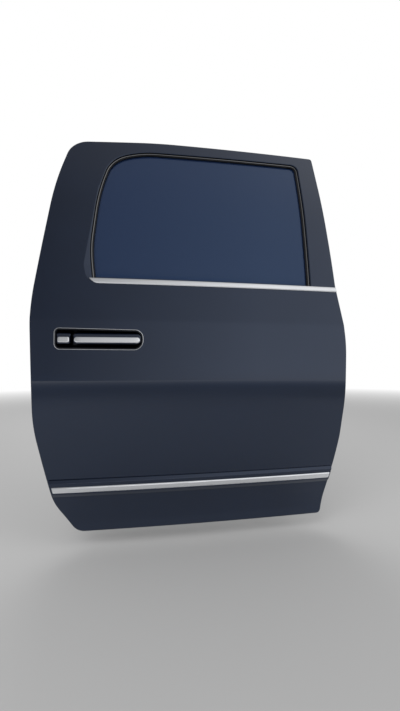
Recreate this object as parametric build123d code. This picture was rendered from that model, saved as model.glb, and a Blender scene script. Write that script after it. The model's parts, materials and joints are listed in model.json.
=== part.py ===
from build123d import *
import math
import os

# Right-hand rear door of a crew-cab pickup truck.
# X points to the front of the vehicle, Y inboard and Z up. Heights are counted from the door's
# bottom edge; the finished pieces are lowered so that the lower hinge's pillar pad is the origin.
# Millimetres.

# The door as a whole
door_length = 1000.0
door_height = 1277.0
belt_height = 757.0
shoulder_height = 627.0
plan_radius = 9000.0
box_depth = 92.0
frame_depth = 38.0

# Sheet metal
skin_thickness = 1.6
sheet_thickness = 1.6
seam_gap = 0.1
hem_width = 9.0
piece_gap = 0.3

# Hinge line
pillar_gap = 48.0
axis_depth = 28.0
axis_setback = 25.0
skin_lead = 45.3
lower_hinge_height = 290.0
hinge_spread = 310.0
hinge_face_setback = 16.0
pin_radius = 5.0
pin_clearance = 0.05
eye_radius = 10.0
knuckle_height = 32.0
ear_thickness = 6.0
ear_gap = 0.5
leaf_thickness = 6.0
leaf_reach_inboard = 30.0
leaf_reach_outboard = 12.0
leaf_height = 72.0
neck_thickness = 8.0
neck_height = 26.0
pad_thickness = 7.0
pad_length = 36.0
pad_height = 70.0
hinge_bolt_spacing = 44.0
hinge_bolt_hole = 4.25

# Door check between the hinges
check_height = 440.0
check_pivot_forward = 16.0
check_pivot_inboard = 30.0
check_slot_inboard = 31.0
check_pin_radius = 3.0
check_eye_radius = 7.0
check_arm_length = 90.0
check_arm_height = 14.0
check_arm_thickness = 5.0
check_stop_width = 14.0
check_stop_length = 8.0
check_ear_thickness = 3.0
check_ear_gap = 1.0
check_base_thickness = 4.0
check_base_height = 48.0
check_base_length = 40.0
check_bolt_spacing = 34.0
check_bolt_hole = 3.3
check_slot_width = 20.0
check_slot_height = 22.0
check_plate_thickness = 2.0
check_shoe_width = 9.0
check_shoe_depth = 6.0
check_shoe_root = 2.0
check_plate_margin = 8.0
check_plate_rise = 18.0
check_plate_corner = 7.0

# Wiring grommet below the upper hinge
grommet_inboard = 16.0
grommet_drop = 76.0
grommet_radius = 20.0
grommet_thickness = 4.0
grommet_neck_radius = 13.0
grommet_neck_height = 9.0

# Window
window_rear_setback = 171.5
window_front_setback = 107.6
window_top_drop = 48.5
window_seal_width = 9.0
run_cover = 6.0
run_outer = 8.0
run_depth = 25.0
glass_inset = 14.0
glass_thickness = 4.0
glass_tuck = 8.0
glass_drop = 70.0
skin_sill_rise = 4.0
panel_sill_rise = 10.0
frame_tube_drop = 60.0
run_drop = 40.0
reveal_angle = 16.0
reveal_width = 25.0

# Mouldings
belt_moulding_height = 16.0
belt_moulding_proud = 4.5
belt_moulding_bevel = 4.0
belt_moulding_end_gap = 2.0
belt_shelf_thickness = 2.0
belt_shelf_lift = 1.0
belt_shelf_gap = 4.0
belt_lip_rise = 4.0
belt_lip_drop = 12.0
belt_lip_reach = 3.7
belt_rear_inset = 9.0
belt_front_inset = 17.0
belt_end_gap = 3.0
inner_lip_rise = 3.0
inner_lip_drop = 6.0
inner_lip_thickness = 5.0
moulding_root = 14.0
side_moulding_bottom = 108.0
side_moulding_height = 50.0
side_moulding_proud = 9.0
side_moulding_bevel = 9.0
bright_strip_bottom = 116.0
bright_strip_height = 27.0
bright_strip_proud = 2.0
bright_strip_bevel = 8.0
bright_strip_end_gap = 4.0
moulding_end_gap = 5.0

# Outside handle
handle_rear_setback = 68.0
handle_length = 256.0
handle_height = 61.0
handle_centre_height = 570.0
handle_rim = 3.0
handle_rim_proud = 1.5
pocket_wall = 2.0
pocket_depth = 32.0
pocket_taper = 12.0
grip_length = 195.0
grip_height = 31.0
grip_rise = 1.5
grip_proud = 7.0
grip_back = 6.0
grip_face_height = 18.0
grip_upper_slope = 9.0
grip_lower_bevel = 2.5
grip_leg_inset = 15.0
grip_leg_length = 12.0
grip_leg_height = 16.0
grip_strip_thickness = 1.2
grip_strip_margin = 3.0
cap_setback = 8.0
cap_length = 38.0
cap_gap = 3.0
cap_stem_length = 20.0

# Latch
latch_face_setback = 36.0
latch_height = 430.0
latch_body_height = 76.0
latch_body_depth = 44.0
latch_body_reach = 55.0
latch_body_inset = 4.0
latch_body_margin = 7.0
latch_clearance = 1.0
latch_flange_thickness = 2.5
latch_flange_reach = 62.0
latch_flange_inset = 1.0
latch_flange_corner = 9.0
striker_slot_height = 15.0
striker_slot_length = 26.0
striker_slot_depth = 38.0
striker_notch_clearance = 4.0

# Inside
weatherstrip_width = 10.0
weatherstrip_height = 12.0
trim_margin = 4.0
trim_thickness = 22.0
trim_carrier_thickness = 10.0
insert_bottom = 482.0
insert_top = 628.0
insert_thickness = 16.0
upper_trim_bottom = 641.0
sill_rise = 15.0
armrest_height = 446.0
armrest_depth = 60.0
armrest_drop = 52.0
armrest_rear_setback = 110.0
armrest_front_setback = 110.0
armrest_corner = 30.0
armrest_pad_thickness = 16.0
armrest_pad_corner = 20.0
armrest_pad_rear_gap = 8.0
armrest_pad_cup_gap = 10.0
armrest_pad_margin = 3.0
pull_cup_setback = 84.0
pull_cup_length = 112.0
pull_cup_depth = 36.0
pull_cup_wall = 2.5
pull_cup_margin = 11.0
pull_cup_corner = 14.0
pull_cup_lip = 1.0
switch_plate_length = 62.0
switch_plate_width = 40.0
switch_plate_thickness = 4.0
switch_plate_corner = 8.0
switch_setback = 4.0
switch_width = 16.0
map_pocket_depth = 42.0
map_pocket_foot_share = 0.6
map_pocket_rear_setback = 150.0
map_pocket_front_setback = 330.0
map_pocket_corner = 26.0
map_pocket_bottom = 74.0
map_pocket_top = 196.0
map_pocket_wall = 3.0
speaker_radius = 82.0
speaker_height = 190.0
speaker_setback = 190.0
speaker_rise = 5.0
speaker_crown = 4.0
speaker_bevel = 8.0
lock_knob_setback = 170.0
lock_knob_inboard = 12.0
lock_knob_radius = 4.5
lock_knob_rise = 20.0
lock_collar_radius = 8.0
lock_collar_rise = 2.5
insert_setback = 66.0
insert_gap = 26.0
release_length = 122.0
release_tall = 60.0
release_wall = 7.0
release_floor = 2.0
release_depth = 13.0
release_setback = 114.0
release_height = 565.0
lever_length = 88.0
lever_tall = 26.0
lever_thickness = 4.0
lever_foot = 9.0
lever_tip = 16.0
lever_end_gap = 6.0

# Places worked out from the sizes above
axis_x = -axis_setback
axis_y = -pillar_gap
front_edge = axis_x + skin_lead
rear_edge = front_edge - door_length
mid_x = (front_edge + rear_edge) / 2
crown = (axis_x - mid_x) ** 2 / (2 * plan_radius)
skin_y = -(pillar_gap + axis_depth) - crown
sheet_y = box_depth - pillar_gap - axis_depth
hinge_face_x = axis_x - hinge_face_setback
latch_face_x = rear_edge + latch_face_setback
window_rear = rear_edge + window_rear_setback
window_front = front_edge - window_front_setback
window_top = door_height - window_top_drop
hem_inner = skin_thickness + 2 * seam_gap + sheet_thickness
release_x = hinge_face_x - release_setback
far_inboard = 420.0
far_outboard = skin_y - 80.0
over_size = 60.0
plan_axis = Axis((mid_x, skin_y + plan_radius, 0), (0, 0, 1))
plan_arc = 2 * math.degrees(math.asin((door_length / 2 + over_size) / (plan_radius - far_inboard)))

# Section of the outer surface at mid length: height, inboard of the widest line, corner radius
skin_section = [
    (-over_size, 20, 0),
    (46, 32, 180),
    (170, 9, 900),
    (430, -1, 3000),
    (shoulder_height, 5, 60),
    (belt_height + 103, 55, 3000),
    (belt_height + 303, 108, 2000),
    (door_height + over_size, 210, 0),
]

# Side outline of the door: place along X, height, corner radius
door_rows = [
    (rear_edge + 133, 0, 45),
    (rear_edge + 66, 86, 150),
    (rear_edge + 9, 317, 500),
    (rear_edge - 3, belt_height - 91, 900),
    (rear_edge + 51, door_height - 196, 1500),
    (rear_edge + 96, door_height - 30, 75),
    (rear_edge + 380, door_height - 8, 2000),
    (front_edge - 31, door_height, 8),
    (front_edge - 21, belt_height + 5, 200),
    (front_edge + 2, 563, 500),
    (front_edge - 4, 389, 700),
    (front_edge - 24, 257, 300),
    (front_edge - 89, 0, 14),
]

# Outline of the inner panel's deep tray: place along X, height, corner radius
tray_rows = [
    (rear_edge + 168, 24, 40),
    (rear_edge + 104, 100, 120),
    (latch_face_x, 300, 300),
    (latch_face_x, 640, 400),
    (rear_edge + 66, door_height - 207, 1500),
    (rear_edge + 110, door_height - 44, 62),
    (rear_edge + 380, door_height - 21, 2000),
    (front_edge - 44, door_height - 13, 6),
    (front_edge - 36, belt_height + 43, 100),
    (hinge_face_x, 720, 60),
    (hinge_face_x, 180, 200),
    (front_edge - 128, 24, 20),
]

# Outer line of the weatherstrip on the tray: place along X, height, corner radius
seal_rows = [
    (rear_edge + 190, 46, 50),
    (rear_edge + 134, 112, 120),
    (latch_face_x + 34, 310, 250),
    (latch_face_x + 34, 640, 400),
    (rear_edge + 76, door_height - 212, 1500),
    (rear_edge + 116, door_height - 51, 56),
    (rear_edge + 380, door_height - 25, 2000),
    (front_edge - 48, door_height - 17, 6),
    (front_edge - 40, belt_height + 43, 80),
    (hinge_face_x - 12, 700, 60),
    (hinge_face_x - 12, 190, 180),
    (front_edge - 150, 46, 20),
]


def window_rows(sill):
    # Daylight edge of the window down to a given sill height: place along X, height, radius
    rear_lean = 9 / 85
    front_lean = 12 / 277
    return [
        (window_rear + rear_lean * (belt_height + 98 - sill), sill, 0),
        (window_rear, belt_height + 98, 500),
        (window_rear + 20, belt_height + 293, 900),
        (window_rear + 59, window_top - 47, 110),
        (window_rear + 158, window_top - 12, 300),
        (window_front, window_top, 16),
        (window_front - 5, belt_height + 270, 1500),
        (window_front - 5 - front_lean * (belt_height + 270 - sill), sill, 0),
    ]


# Inclined facet behind the rear lower window corner: place along X, height, corner radius
reveal_rows = [
    (window_rear + 14, belt_height + 318, 0),
    (window_rear + 3 - reveal_width, belt_height + 159, 500),
    (window_rear - reveal_width, belt_height + 43, 55),
    (window_rear - reveal_width + 11, belt_height - 1, 25),
    (window_rear + 34, belt_height - 1, 0),
    (window_rear + 34, belt_height + 318, 0),
]

# Bright belt moulding: place along X, height, corner radius
belt_rows = [
    (window_rear - 8, belt_height - 0.5, 0),
    (window_rear + 8, belt_height - belt_moulding_height, 40),
    (front_edge, belt_height - belt_moulding_height, 0),
    (front_edge, belt_height, 0),
    (window_rear - 6, belt_height, 0),
]


def rounded_path(corners, radii, closed):
    # Straight runs joined by tangent arcs; a corner never takes more than its share of a run
    count = len(corners)
    points = [Vector(x, z) for x, z in corners]
    ends = []
    for index, point in enumerate(points):
        radius = radii[index]
        if radius == 0 or (not closed and index in (0, count - 1)):
            ends.append((point, None, point))
            continue
        back = points[index - 1] - point
        ahead = points[(index + 1) % count] - point
        half_turn = math.radians(180 - back.get_angle(ahead)) / 2
        room = 0.49 * min(back.length, ahead.length)
        tangent = min(radius * math.tan(half_turn), room)
        fitted = tangent / math.tan(half_turn)
        bisector = (back.normalized() + ahead.normalized()).normalized()
        top = point + bisector * (fitted / math.cos(half_turn) - fitted)
        ends.append((point + back.normalized() * tangent, top, point + ahead.normalized() * tangent))
    edges = []
    for index, (start, top, finish) in enumerate(ends):
        if top is not None:
            edges.append(ThreePointArc(start, top, finish))
        if closed or index < count - 1:
            following = ends[(index + 1) % count][0]
            edges.append(Line(finish, following))
    return edges


def face_from(rows):
    # Closed outline from rows of two coordinates and the corner's radius
    edges = rounded_path([row[:2] for row in rows], [row[2] for row in rows], True)
    return make_face(edges)


def side_face(rows):
    return Plane.XZ * face_from(rows)


def grown(face, amount):
    # Same outline, wider all round by the amount
    return offset(face, amount, kind=Kind.INTERSECTION)


def prism(face, near=far_outboard, far=far_inboard):
    # Side outline carried across the door from one Y to another
    return extrude(Pos(0, near, 0) * face, amount=far - near, dir=(0, 1, 0))


def block(x_range, y_range, z_range):
    size = [high - low for low, high in (x_range, y_range, z_range)]
    middle = [(high + low) / 2 for low, high in (x_range, y_range, z_range)]
    return Pos(*middle) * Box(*size)


def section_line(inset):
    points = [(skin_y + depth + inset, height) for height, depth, radius in skin_section]
    return Wire(rounded_path(points, [row[2] for row in skin_section], False))


def skin_depth(height):
    # Y of the outer surface at mid length, found by halving along the section line
    line = section_line(0)
    low, high = 0.0, 1.0
    for step in range(40):
        middle = (low + high) / 2
        if (line @ middle).Y < height:
            low = middle
        else:
            high = middle
    return (line @ low).X


def skin_y_at(x, height):
    # Y of the outer surface anywhere on the door
    return skin_depth(height) + plan_radius - math.sqrt(plan_radius**2 - (x - mid_x) ** 2)


bodies_behind = {}


def behind(inset):
    # All that lies inboard of the outer surface moved in by the inset
    if inset not in bodies_behind:
        front_line = section_line(inset)
        back_line = Polyline(
            front_line @ 1,
            (far_inboard, door_height + over_size),
            (far_inboard, -over_size),
            front_line @ 0,
        )
        edges = front_line.edges() + back_line.edges()
        face = Pos(mid_x, 0, 0) * (Plane.YZ * make_face(edges))
        solid = revolve(face, axis=plan_axis, revolution_arc=plan_arc)
        bodies_behind[inset] = solid.rotate(plan_axis, -plan_arc / 2)
    return bodies_behind[inset]


def layer(solid, outer, inner):
    # The part of a solid between two depths below the outer surface
    return (solid & behind(outer)) - behind(inner)


def facet_behind(inset):
    # All that lies inboard of the window facet: the outer surface tilted about the facet's rear edge
    places = [row[:2] for row in (reveal_rows[2], reveal_rows[0])]
    low, high = [Vector(x, skin_y_at(x, height), height) for x, height in places]
    return behind(inset).rotate(Axis(low, high - low), reveal_angle)


def reveal_space(growth, inset):
    # What the facet takes out of the door, down to a depth below it
    outline = prism(grown(side_face(reveal_rows), growth))
    return (outline & behind(0)) - facet_behind(inset)


def inboard_of_door(extra):
    # All that lies inboard of the inner panel's face, moved in by the extra
    flat = block(
        (rear_edge - over_size, front_edge + over_size),
        (sheet_y + extra, far_inboard),
        (-over_size, door_height + over_size),
    )
    return behind(frame_depth + extra) & flat


door_face = side_face(door_rows)
tray_face = side_face(tray_rows)
seal_face = side_face(seal_rows)
trim_face = grown(seal_face, -weatherstrip_width - trim_margin)
above_belt = block(
    (rear_edge - over_size, front_edge + over_size),
    (far_outboard, far_inboard),
    (belt_height + 1, door_height + over_size),
)

# Handle places
handle_rear = rear_edge + handle_rear_setback
handle_x = handle_rear + handle_length / 2
cap_x = handle_rear + cap_setback + cap_length / 2
grip_rear = cap_x + cap_length / 2 + cap_gap
grip_x = grip_rear + grip_length / 2
handle_turn = math.degrees(math.asin((handle_x - mid_x) / plan_radius))
handle_fall = skin_depth(handle_centre_height + handle_height / 2) - skin_depth(
    handle_centre_height - handle_height / 2
)
handle_lean = -math.degrees(math.atan(handle_fall / handle_height))
handle_place = Pos(
    handle_x, skin_y_at(handle_x, handle_centre_height), handle_centre_height
) * Rot(handle_lean, 0, handle_turn)


def rounded(x, height, length, tall, radius):
    # Rounded rectangle seen from the side
    corner = min(radius, tall / 2 - 0.01, length / 2 - 0.01)
    return Plane.XZ * (Pos(x, height) * RectangleRounded(length, tall, corner))


def handle_mouth(growth):
    # The pocket's mouth about its middle: tighter corners at the rear, rounder ones in front
    tall = handle_height / 2 + growth
    end = handle_length / 2 + growth
    rows = [
        (-end, -tall + 0.5, 16 + growth),
        (-end, tall + 2, 14 + growth),
        (end, tall - 2, 24 + growth),
        (end, -tall - 0.7, 28 + growth),
    ]
    return side_face(rows)


def handle_opening(growth):
    return Pos(handle_x, 0, handle_centre_height) * handle_mouth(growth)


def outer_skin():
    plate = prism(door_face)
    skin = layer(plate, 0, skin_thickness)
    edge = plate - prism(grown(door_face, -skin_thickness))
    skin += layer(edge, 0, hem_inner + skin_thickness)
    hem = plate - prism(grown(door_face, -hem_width))
    skin += layer(hem, hem_inner, hem_inner + skin_thickness)
    opening = side_face(window_rows(belt_height + skin_sill_rise))
    window_edge = prism(grown(opening, window_seal_width + skin_thickness))
    skin += layer(window_edge, 0, run_outer - piece_gap)
    skin += reveal_space(skin_thickness, skin_thickness)
    skin -= reveal_space(0, 0)
    skin -= prism(grown(opening, window_seal_width))
    skin -= prism(handle_opening(-handle_rim), far_outboard, skin_y + over_size)
    return skin


def inner_panel():
    tray = prism(tray_face)
    walls = (tray & behind(skin_thickness + seam_gap)) - inboard_of_door(0)
    hollow = prism(grown(tray_face, -sheet_thickness)) - inboard_of_door(-sheet_thickness)
    panel = walls - hollow
    cover = window_seal_width + run_cover + piece_gap
    opening = side_face(window_rows(belt_height - frame_tube_drop))
    tube = prism(grown(opening, cover + sheet_thickness)) & above_belt & walls
    panel += tube
    flange = prism(grown(door_face, -skin_thickness - seam_gap)) - prism(grown(tray_face, -0.8))
    flange_outer = skin_thickness + seam_gap
    panel += layer(flange, flange_outer, flange_outer + sheet_thickness)
    daylight = side_face(window_rows(belt_height + panel_sill_rise))
    panel -= prism(grown(daylight, cover), skin_y, far_inboard)
    panel -= reveal_space(skin_thickness + piece_gap, skin_thickness + piece_gap)
    panel -= striker_notch()
    panel -= latch_cutout()
    panel -= check_slot(0)
    return panel


def striker_notch():
    # The striker enters the latch through this notch in the corner of the inner panel
    reach = striker_slot_height / 2 + striker_notch_clearance
    return block(
        (latch_face_x - 3, latch_face_x + striker_slot_length + 3),
        (sheet_y - striker_slot_depth, sheet_y + 1),
        (latch_height - reach, latch_height + reach),
    )


def latch_cutout():
    half = latch_body_height / 2 - latch_body_margin + latch_clearance
    return block(
        (latch_face_x - 3, latch_face_x + sheet_thickness + 1),
        (
            sheet_y - latch_body_reach - latch_clearance,
            sheet_y - sheet_thickness - latch_body_inset + latch_clearance,
        ),
        (latch_height - half, latch_height + half),
    )


def check_slot(extra):
    width = check_slot_width / 2 + extra
    tall = check_slot_height / 2 + extra
    y = axis_y + check_slot_inboard
    return block(
        (hinge_face_x - 5, hinge_face_x + 5),
        (y - width, y + width),
        (check_height - tall, check_height + tall),
    )


def window_glass():
    pane = prism(grown(side_face(window_rows(belt_height - glass_drop + glass_tuck)), glass_tuck))
    return layer(pane, glass_inset, glass_inset + glass_thickness)


def glass_run():
    opening = side_face(window_rows(belt_height - run_drop))
    ring = prism(grown(opening, window_seal_width + run_cover)) - prism(opening)
    run = layer(ring & above_belt, run_outer, run_depth)
    slot = prism(grown(opening, glass_tuck + piece_gap))
    slot_outer = glass_inset - piece_gap
    slot_inner = glass_inset + glass_thickness + piece_gap
    run -= layer(slot, slot_outer, slot_inner)
    return run


def belt_span(low, high):
    # A strip along the belt between the two ends of the window
    return block(
        (
            window_rear + belt_rear_inset + belt_end_gap,
            window_front - belt_front_inset - belt_end_gap,
        ),
        (far_outboard, far_inboard),
        (low, high),
    )


def belt_moulding():
    low = belt_height - belt_moulding_height
    bar = moulding_band(
        low, belt_moulding_height, belt_moulding_proud, belt_moulding_bevel, moulding_root
    )
    bar &= prism(side_face(belt_rows))
    bar &= prism(grown(door_face, -belt_moulding_end_gap))
    moulding = bar - behind(0)
    shelf = belt_span(belt_height - belt_shelf_thickness, belt_height)
    moulding += layer(shelf, -belt_shelf_lift, glass_inset - belt_shelf_gap)
    return moulding


def belt_seal_outer():
    lip = belt_span(belt_height - belt_lip_drop, belt_height + belt_lip_rise)
    return layer(lip, glass_inset - belt_lip_reach, glass_inset - piece_gap)


def belt_seal_inner():
    inner_side = glass_inset + glass_thickness + piece_gap
    lip = belt_span(belt_height - inner_lip_drop, belt_height + sill_rise + inner_lip_rise)
    return layer(lip, inner_side, inner_side + inner_lip_thickness)


def moulding_band(bottom, tall, proud, bevel, depth):
    # Strip with bevelled edges that stands on the outer surface, carried round the plan curve
    top = bottom + tall
    rows = [
        (skin_depth(bottom) + depth, bottom, 0),
        (skin_depth(bottom) - proud / 2, bottom, 0),
        (skin_depth(bottom + bevel) - proud, bottom + bevel, bevel / 2),
        (skin_depth(top - bevel) - proud, top - bevel, bevel / 2),
        (skin_depth(top) - proud / 2, top, 0),
        (skin_depth(top) + depth, top, 0),
    ]
    face = Pos(mid_x, 0, 0) * (Plane.YZ * face_from(rows))
    return revolve(face, axis=plan_axis, revolution_arc=plan_arc).rotate(plan_axis, -plan_arc / 2)


def bright_strip():
    proud = side_moulding_proud + bright_strip_proud
    strip = moulding_band(
        bright_strip_bottom, bright_strip_height, proud, bright_strip_bevel, 1 - proud / 2
    )
    return strip & prism(grown(door_face, -moulding_end_gap - bright_strip_end_gap))


def side_moulding():
    band = moulding_band(
        side_moulding_bottom,
        side_moulding_height,
        side_moulding_proud,
        side_moulding_bevel,
        moulding_root,
    )
    band &= prism(grown(door_face, -moulding_end_gap))
    return band - behind(0) - bright_strip()


def pocket_cup(growth, depth):
    # The pocket narrows towards its floor
    over = 3.0
    mouth = Pos(0, -over, 0) * handle_mouth(growth + 0.4)
    return handle_place * extrude(mouth, amount=over + depth, dir=(0, 1, 0), taper=pocket_taper)


def handle_pocket():
    throat = -handle_rim - 0.4
    rim = layer(prism(handle_opening(0)), -handle_rim_proud, 0)
    cup = pocket_cup(throat, pocket_depth) & behind(0)
    return rim + cup - pocket_cup(throat - pocket_wall, pocket_depth - pocket_wall)


def handle_bar(rows, middle, length, tall, rise, radius):
    # Section carried along the handle, cut to a rounded outline seen from the side
    face = Pos(-handle_length, 0, 0) * (Plane.YZ * face_from(rows))
    bar = extrude(face, amount=2 * handle_length, dir=(1, 0, 0))
    outline = Plane.XZ * (Pos(middle - handle_x, rise) * RectangleRounded(length, tall, radius))
    return handle_place * (bar & extrude(outline, amount=pocket_depth, both=True))


def grip_section():
    # Flat face, long slope above it and a small bevel below: Y, height, corner radius
    low = grip_rise - grip_height / 2
    high = grip_rise + grip_height / 2
    face_low = low + grip_lower_bevel
    return [
        (grip_back, low, 2),
        (grip_lower_bevel - grip_proud, low, 1),
        (-grip_proud, face_low, 1),
        (-grip_proud, face_low + grip_face_height, 2),
        (grip_upper_slope - grip_proud, high, 3),
        (grip_back, high, 2),
    ]


def handle_leg(middle, length, tall, radius):
    # Post from the back of the handle to the pocket's floor
    rows = [
        (grip_back - 2, -handle_height, 0),
        (grip_back - 2, handle_height, 0),
        (pocket_depth - pocket_wall, handle_height, 0),
        (pocket_depth - pocket_wall, -handle_height, 0),
    ]
    return handle_bar(rows, middle, length, tall, grip_rise, radius)


def handle_grip():
    # The bar that is pulled, on the two legs that carry it
    grip = handle_bar(grip_section(), grip_x, grip_length, grip_height, grip_rise, 13)
    for leg_x in (grip_rear + grip_leg_inset, grip_rear + grip_length - grip_leg_inset):
        grip += handle_leg(leg_x, grip_leg_length, grip_leg_height, 4)
    return grip


def handle_cap():
    cap = handle_bar(grip_section(), cap_x, cap_length, grip_height, grip_rise, 5)
    return cap + handle_leg(cap_x, cap_stem_length, grip_leg_height, 4)


def handle_strip(middle, length, radius):
    # Bright strip on the flat of the handle
    face_low = grip_rise - grip_height / 2 + grip_lower_bevel
    tall = grip_face_height - 2
    centre = face_low + grip_face_height / 2
    rows = [
        (-grip_proud, centre - tall / 2, 0),
        (-grip_proud - grip_strip_thickness, centre - tall / 2 + 1, 0),
        (-grip_proud - grip_strip_thickness, centre + tall / 2 - 1, 0),
        (-grip_proud, centre + tall / 2, 0),
    ]
    return handle_bar(rows, middle, length - 2 * grip_strip_margin, tall, centre, radius)


def hinge_pin(height):
    reach = knuckle_height + 2 * (ear_gap + ear_thickness) + 4
    return Pos(axis_x, axis_y, height) * Cylinder(pin_radius, reach)


def pin_hole(height):
    return Pos(axis_x, axis_y, height) * Cylinder(pin_radius + pin_clearance, 200)


def pillar_leaf(height):
    knuckle = Pos(axis_x, axis_y, height) * Cylinder(eye_radius, knuckle_height)
    neck = block(
        (axis_x - neck_thickness / 2, axis_x + neck_thickness / 2),
        (axis_y, -pad_thickness / 2),
        (height - neck_height / 2, height + neck_height / 2),
    )
    pad_rear = axis_x - neck_thickness / 2
    pad_front = pad_length / 2
    pad_outline = rounded((pad_rear + pad_front) / 2, height, pad_front - pad_rear, pad_height, 9)
    pad = prism(pad_outline, -pad_thickness, 0)
    leaf = knuckle + neck + pad - pin_hole(height)
    for side in (-1, 1):
        place = Pos(0, 0, height + side * hinge_bolt_spacing / 2)
        leaf -= place * (Rot(90, 0, 0) * Cylinder(hinge_bolt_hole, 4 * pad_thickness))
    return leaf


def standing_plate(x_range, y_range, z_range, radius):
    # Plate square to the door's length, with rounded corners
    width = y_range[1] - y_range[0]
    tall = z_range[1] - z_range[0]
    middle = Pos(y_range[0] + width / 2, z_range[0] + tall / 2)
    outline = Plane.YZ * (middle * RectangleRounded(width, tall, radius))
    return extrude(Pos(x_range[0], 0, 0) * outline, amount=x_range[1] - x_range[0], dir=(1, 0, 0))


def door_leaf(height):
    leaf = standing_plate(
        (hinge_face_x, hinge_face_x + leaf_thickness),
        (axis_y - leaf_reach_outboard, axis_y + leaf_reach_inboard),
        (height - leaf_height / 2, height + leaf_height / 2),
        8,
    )
    for side in (-1, 1):
        middle = height + side * (knuckle_height / 2 + ear_gap + ear_thickness / 2)
        ear = Pos(axis_x, axis_y, middle) * Cylinder(eye_radius, ear_thickness)
        ear += block(
            (hinge_face_x + leaf_thickness / 2, axis_x),
            (axis_y - eye_radius, axis_y + eye_radius),
            (middle - ear_thickness / 2, middle + ear_thickness / 2),
        )
        leaf += ear
    return leaf - pin_hole(height)


check_x = axis_x + check_pivot_forward
check_y = axis_y + check_pivot_inboard


def check_bracket():
    base = rounded(check_x, check_height, check_base_length, check_base_height, 8)
    bracket = prism(base, -check_base_thickness, 0)
    for side in (-1, 1):
        middle = check_height + side * (
            check_arm_height / 2 + check_ear_gap + check_ear_thickness / 2
        )
        eye = Pos(check_x, check_y, middle) * Cylinder(check_eye_radius, check_ear_thickness)
        eye += block(
            (check_x - check_eye_radius, check_x + check_eye_radius),
            (check_y, -check_base_thickness / 2),
            (middle - check_ear_thickness / 2, middle + check_ear_thickness / 2),
        )
        bracket += eye
        place = Pos(check_x, 0, check_height + side * check_bolt_spacing / 2)
        bracket -= place * (Rot(90, 0, 0) * Cylinder(check_bolt_hole, 40))
    reach = check_arm_height + 2 * (check_ear_gap + check_ear_thickness) + 2
    pin = Pos(check_x, check_y, check_height) * Cylinder(check_pin_radius, reach)
    return bracket + pin


def check_arm():
    slot_x = hinge_face_x - check_x
    slot_y = axis_y + check_slot_inboard - check_y
    heading = math.degrees(math.atan2(slot_y, slot_x))
    arm = Cylinder(check_eye_radius, check_arm_height)
    arm += Pos(check_arm_length / 2, 0, 0) * Box(
        check_arm_length, check_arm_thickness, check_arm_height
    )
    arm += Pos(check_arm_length - check_stop_length / 2, 0, 0) * Box(
        check_stop_length, check_stop_width, check_arm_height
    )
    arm -= Cylinder(check_pin_radius + pin_clearance, 2 * check_arm_height)
    return Pos(check_x, check_y, check_height) * (Rot(0, 0, heading) * arm)


def check_plate():
    # Plate round the slot, with the two shoes that hold the arm's upper and lower edges
    y = axis_y + check_slot_inboard
    wide = check_slot_width / 2 + check_plate_margin
    tall = check_slot_height / 2 + check_plate_rise
    plate = standing_plate(
        (hinge_face_x, hinge_face_x + check_plate_thickness),
        (y - wide, y + wide),
        (check_height - tall, check_height + tall),
        check_plate_corner,
    )
    plate -= check_slot(0)
    near = check_arm_height / 2 + piece_gap
    for side in (-1, 1):
        for depth, far in (
            (-check_plate_thickness, check_slot_height / 2 + check_shoe_root),
            (check_shoe_depth, check_slot_height / 2 - piece_gap),
        ):
            low, high = sorted((side * near, side * far))
            plate += block(
                tuple(sorted((hinge_face_x, hinge_face_x - depth))),
                (y - check_shoe_width / 2, y + check_shoe_width / 2),
                (check_height + low, check_height + high),
            )
    return plate


def standing_disc(radius, tall):
    # Round disc that stands on its own lower face
    return Cylinder(radius, tall, align=(Align.CENTER, Align.CENTER, Align.MIN))


def wiring_grommet():
    height = lower_hinge_height + hinge_spread - grommet_drop
    disc = standing_disc(grommet_radius, grommet_thickness)
    disc += standing_disc(grommet_neck_radius, grommet_neck_height)
    return Pos(hinge_face_x, axis_y + grommet_inboard, height) * (Rot(0, 90, 0) * disc)


def latch():
    half = latch_body_height / 2
    body = block(
        (latch_face_x, latch_face_x + latch_body_depth),
        (sheet_y - latch_body_reach, sheet_y - sheet_thickness - latch_body_inset),
        (latch_height - half + latch_body_margin, latch_height + half - latch_body_margin),
    )
    flange = standing_plate(
        (latch_face_x - latch_flange_thickness, latch_face_x),
        (sheet_y - latch_flange_reach, sheet_y - latch_flange_inset),
        (latch_height - half, latch_height + half),
        latch_flange_corner,
    )
    slot_half = striker_slot_height / 2
    slot = block(
        (latch_face_x - 4, latch_face_x + striker_slot_length),
        (sheet_y - striker_slot_depth, sheet_y + 1),
        (latch_height - slot_half, latch_height + slot_half),
    )
    return body + flange - slot


def door_weatherstrip():
    ring = prism(seal_face) - prism(grown(seal_face, -weatherstrip_width))
    return (ring & inboard_of_door(piece_gap)) - inboard_of_door(piece_gap + weatherstrip_height)


def across(profile_rows):
    # Section in the Y-Z plane carried along the whole door
    face = Pos(front_edge + over_size, 0, 0) * (Plane.YZ * face_from(profile_rows))
    return extrude(face, amount=door_length + 2 * over_size, dir=(-1, 0, 0))


trim_back = sheet_y + piece_gap
trim_front = trim_back + trim_thickness
carrier_front = trim_back + trim_carrier_thickness


def trim_lower():
    rows = [
        (trim_back, 30, 0),
        (trim_back + 10, 40, 0),
        (trim_front, 84, 30),
        (trim_front, armrest_height - 40, 30),
        (carrier_front, insert_bottom - 12, 12),
        (carrier_front, upper_trim_bottom - 1, 0),
        (trim_back, upper_trim_bottom - 1, 0),
    ]
    return across(rows) & prism(trim_face)


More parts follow.
